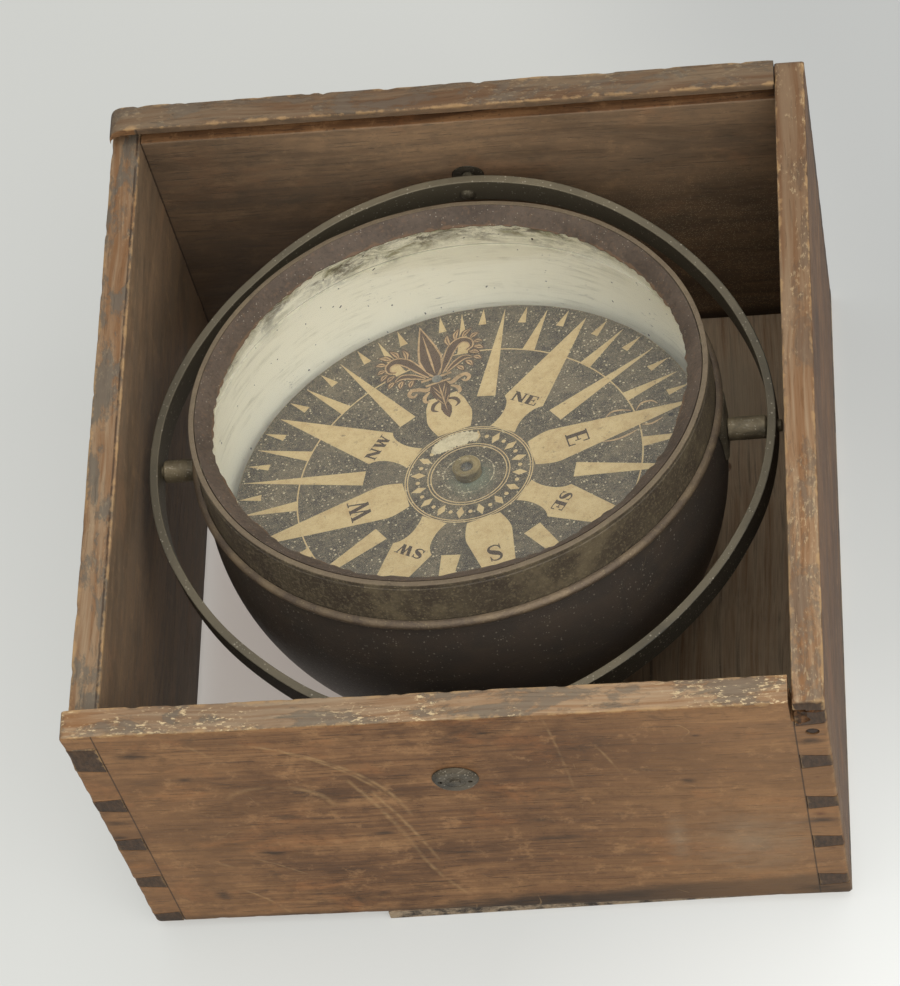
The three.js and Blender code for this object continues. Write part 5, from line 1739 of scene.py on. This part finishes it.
class COMPASS_OT_card_cap(Operator):
    """Brass cap with its jewel in the middle of the card, and the two rivets"""

    bl_idname = "compass.card_cap"
    bl_label = "Cap, Jewel and Rivets"

    def execute(self, context):
        looks = context.scene.compass_bowl
        metal = brass("cap_brass", shade(98, 86, 56), shade(160, 142, 98), looks.dust, 0.1)
        outline = [(3.6, -8.7), (4.6, -8.7), (4.6, -3.2), (5.5, -3.2), (5.5, -1.2), (5.8, 0.2), (5.9, 1.2)]
        outline += [(5.6, 1.6), (5.2, 1.5), (4.8, 0.9), (3.7, 0.7), (3.3, 1.1), (2.9, 1.1), (2.9, 0.5)]
        outline += [(2.2, 0.5), (2.2, -2.2)]
        cap = mesh_object("card_cap_turned", turned(softened(outline, 0.2), 96), CARD)
        finish(cap, metal, "card", ["card_cap"])

        # Jewel: a quarter of an ellipse, turned, above a stem with a conical hollow
        angle = np.radians(np.linspace(0, 90, 12))
        dome = np.stack([2.6 * np.cos(angle), 1 + np.sin(angle)], -1)
        dome[-1, 0] = 0
        profile = [(0, 0.3), (1.2, -1.9), (1.9, -1.9), (1.9, 0.8), (2.6, 0.8), *dome.tolist()]
        jewel = mesh_object("cap_jewel_stone", turned(profile, 64), CARD)
        finish(jewel, glass_material("jewel_glass", (0.74, 0.69, 0.55), 0.5), "card", ["cap_jewel"])

        rivet_metal = brass("rivet_grey", shade(92, 92, 86), shade(150, 148, 138), looks.dust, 0.2)
        profile = [(0, -7.2), (2.2, -7.2), (2.2, -6.7), (1.2, -6.7), (1.2, -3.2), (2.0, -3.2), (2.2, -2.95)]
        profile += [(1.7, -2.62), (1.0, -2.62), (0.8, -2.95), (0, -2.98)]
        for name, y in (("card_rivet_north", RIVET_PLACE), ("card_rivet_south", -RIVET_PLACE)):
            rivet = mesh_object(f"{name}_eyelet", turned_solid(profile, 0.12, 40), CARD @ shift(0, y, 0))
            finish(rivet, rivet_metal, "card", [name])
        return {"FINISHED"}


# Stage

CAMERA_PLACE = (0.203639, -0.767597, 1.417489)
CAMERA_RIGHT = (0.98873919, 0.01974872, -0.14834017)
CAMERA_DOWN = (-0.05686201, -0.86733046, -0.49447406)
CAMERA_AHEAD = (-0.13842518, 0.4973408, -0.85644066)
CAMERA_LENS = 138.6
SHEET_REACH, SHEET_LEVEL = 3000, -0.2
LAMP_AIM = (0, 0, 0.1)

# Glow of the paper: distance from its brightest place as a share of 0.8 m, and screen colour
PAPER_GLOW = (
    (0.1, 252, 253, 249), (0.28, 216, 217, 213), (0.52, 214, 215, 210),
    (0.7, 196, 197, 192), (0.95, 190, 191, 186),
)


def studio_paper(looks):
    """Pale paper. A share of what is seen of it is an even glow, brighter to the front right.

    The glow keeps the shadows on it faint. It holds a painted shadow to the right and back, and under the box
    a weaker, warm painted bounce of light from the wood.
    """
    n = MaterialNodes("studio_paper", Roughness=0.9, Specular_IOR_Level=0.1)
    x, y, _ = n.parts(n.at)
    away = n.math("DIVIDE", n.vector("DISTANCE", n.at, metres(210, -240, 0)), 0.8)
    under = n.most(n.size(x), n.size(y))
    glow = n.layers(
        n.ramp(away, *((place, shade(*screen)) for place, *screen in PAPER_GLOW)),
        # Painted shadow: the glow is greyer to the right and back
        (shade(148, 150, 150), n.step(n.plus(x, n.times(y, 0.4)), 0.1, 0.26), 0.85),
        # Painted light bounced from the wood: the glow is tinted warm under the box
        (shade(226, 206, 192), n.step(under, 0.15, 0.12), 0.7),
    )
    open_air = n.graded(n.step(under, 0.12, 0.15), 0.35, 0.65)
    n.blend(n.times(n.seen(), looks.glow, open_air), n.add("ShaderNodeEmission", {"Color": glow}))
    return n.done(n.layers(looks.floor, (shade(200, 200, 200), n.noise(n.at, 3.0, 2.0), 0.06)))


class COMPASS_OT_stage(Operator):
    """Pale floor, soft studio light and the camera"""

    bl_idname = "compass.stage"
    bl_label = "Stage"

    def execute(self, context):
        scene = context.scene
        looks = scene.compass_stage
        scene.view_settings.view_transform = "Standard"

        reach = np.linspace(-SHEET_REACH, SHEET_REACH, 25)
        x, y = np.meshgrid(reach, reach, indexing="ij")
        sheet = np.stack([x, y, np.full(x.shape, SHEET_LEVEL)], -1).reshape(-1, 3)
        floor = mesh_object("studio_floor", (sheet, [grid_faces(len(reach), len(reach))]))
        floor.data.materials.append(studio_paper(looks))

        world = bpy.data.worlds.new("Studio")
        world.use_nodes = True
        world.node_tree.nodes.clear()
        n = Nodes(world.node_tree)
        even = n.add("ShaderNodeBackground", {"Color": (1, 1, 1), "Strength": looks.ambient})
        pale = n.add("ShaderNodeBackground", {"Color": looks.sky, "Strength": 1.0})
        blend = n.add("ShaderNodeMixShader", {0: n.seen(), 1: even.outputs[0], 2: pale.outputs[0]})
        n.add("ShaderNodeOutputWorld", {"Surface": blend.outputs[0]})
        scene.world = world

        for name, place, size, power in (
            ("Front Light", (0.85, -1.1, 1.35), 1.3, looks.key),
            ("Top Light", (0.15, -0.1, 1.9), 1.6, looks.top),
        ):
            data = bpy.data.lights.new(name, "AREA")
            data.energy, data.size = power, size
            lamp = bpy.data.objects.new(name, data)
            facing = (Vector(LAMP_AIM) - Vector(place)).to_track_quat("-Z", "Y").to_matrix().to_4x4()
            lamp.matrix_world = Matrix.Translation(place) @ facing
            scene.collection.objects.link(lamp)

        data = bpy.data.cameras.new("Camera")
        data.lens, data.sensor_width, data.sensor_fit = CAMERA_LENS, 36, "AUTO"
        camera = bpy.data.objects.new("Camera", data)
        axes = np.eye(4)
        axes[:3, :3] = np.column_stack([CAMERA_RIGHT, np.negative(CAMERA_DOWN), np.negative(CAMERA_AHEAD)])
        axes[:3, 3] = CAMERA_PLACE
        camera.matrix_world = Matrix(axes.tolist())
        scene.collection.objects.link(camera)
        scene.camera = camera
        return {"FINISHED"}


OPERATORS = (
    COMPASS_OT_stage,
    COMPASS_OT_boards,
    COMPASS_OT_bottom_board,
    COMPASS_OT_nails,
    COMPASS_OT_bearings,
    COMPASS_OT_gimbal,
    COMPASS_OT_bowl_body,
    COMPASS_OT_glazing,
    COMPASS_OT_trunnions,
    COMPASS_OT_hidden_pieces,
    COMPASS_OT_card,
    COMPASS_OT_card_cap,
)
LOOKS = {
    "compass_box": BoxLooks,
    "compass_bowl": BowlLooks,
    "compass_card": CardLooks,
    "compass_stage": StageLooks,
}


class COMPASS_PT_sidebar(Panel):
    """Lists the settings and the pieces of the compass"""

    bl_idname = "COMPASS_PT_sidebar"
    bl_label = "Dry Card Compass"
    bl_space_type = "VIEW_3D"
    bl_region_type = "UI"
    bl_category = "Compass"

    def draw(self, context):
        for name, group in LOOKS.items():
            box = self.layout.box()
            for key in group.__annotations__:
                box.prop(getattr(context.scene, name), key)
        for operator in OPERATORS:
            self.layout.operator(operator.bl_idname)


def register():
    for cls in (*LOOKS.values(), *OPERATORS, COMPASS_PT_sidebar):
        bpy.utils.register_class(cls)
    for name, group in LOOKS.items():
        setattr(bpy.types.Scene, name, PointerProperty(type=group))


def unregister():
    for name in LOOKS:
        delattr(bpy.types.Scene, name)
    for cls in reversed((*LOOKS.values(), *OPERATORS, COMPASS_PT_sidebar)):
        bpy.utils.unregister_class(cls)


def main():
    """Builds every piece in order."""
    register()
    build_groups()
    for operator in OPERATORS:
        name = operator.bl_idname.split(".")[1]
        if getattr(bpy.ops.compass, name)() != {"FINISHED"}:
            raise RuntimeError(f"{operator.bl_label} did not finish")
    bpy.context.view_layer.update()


if __name__ == "__main__":
    main()
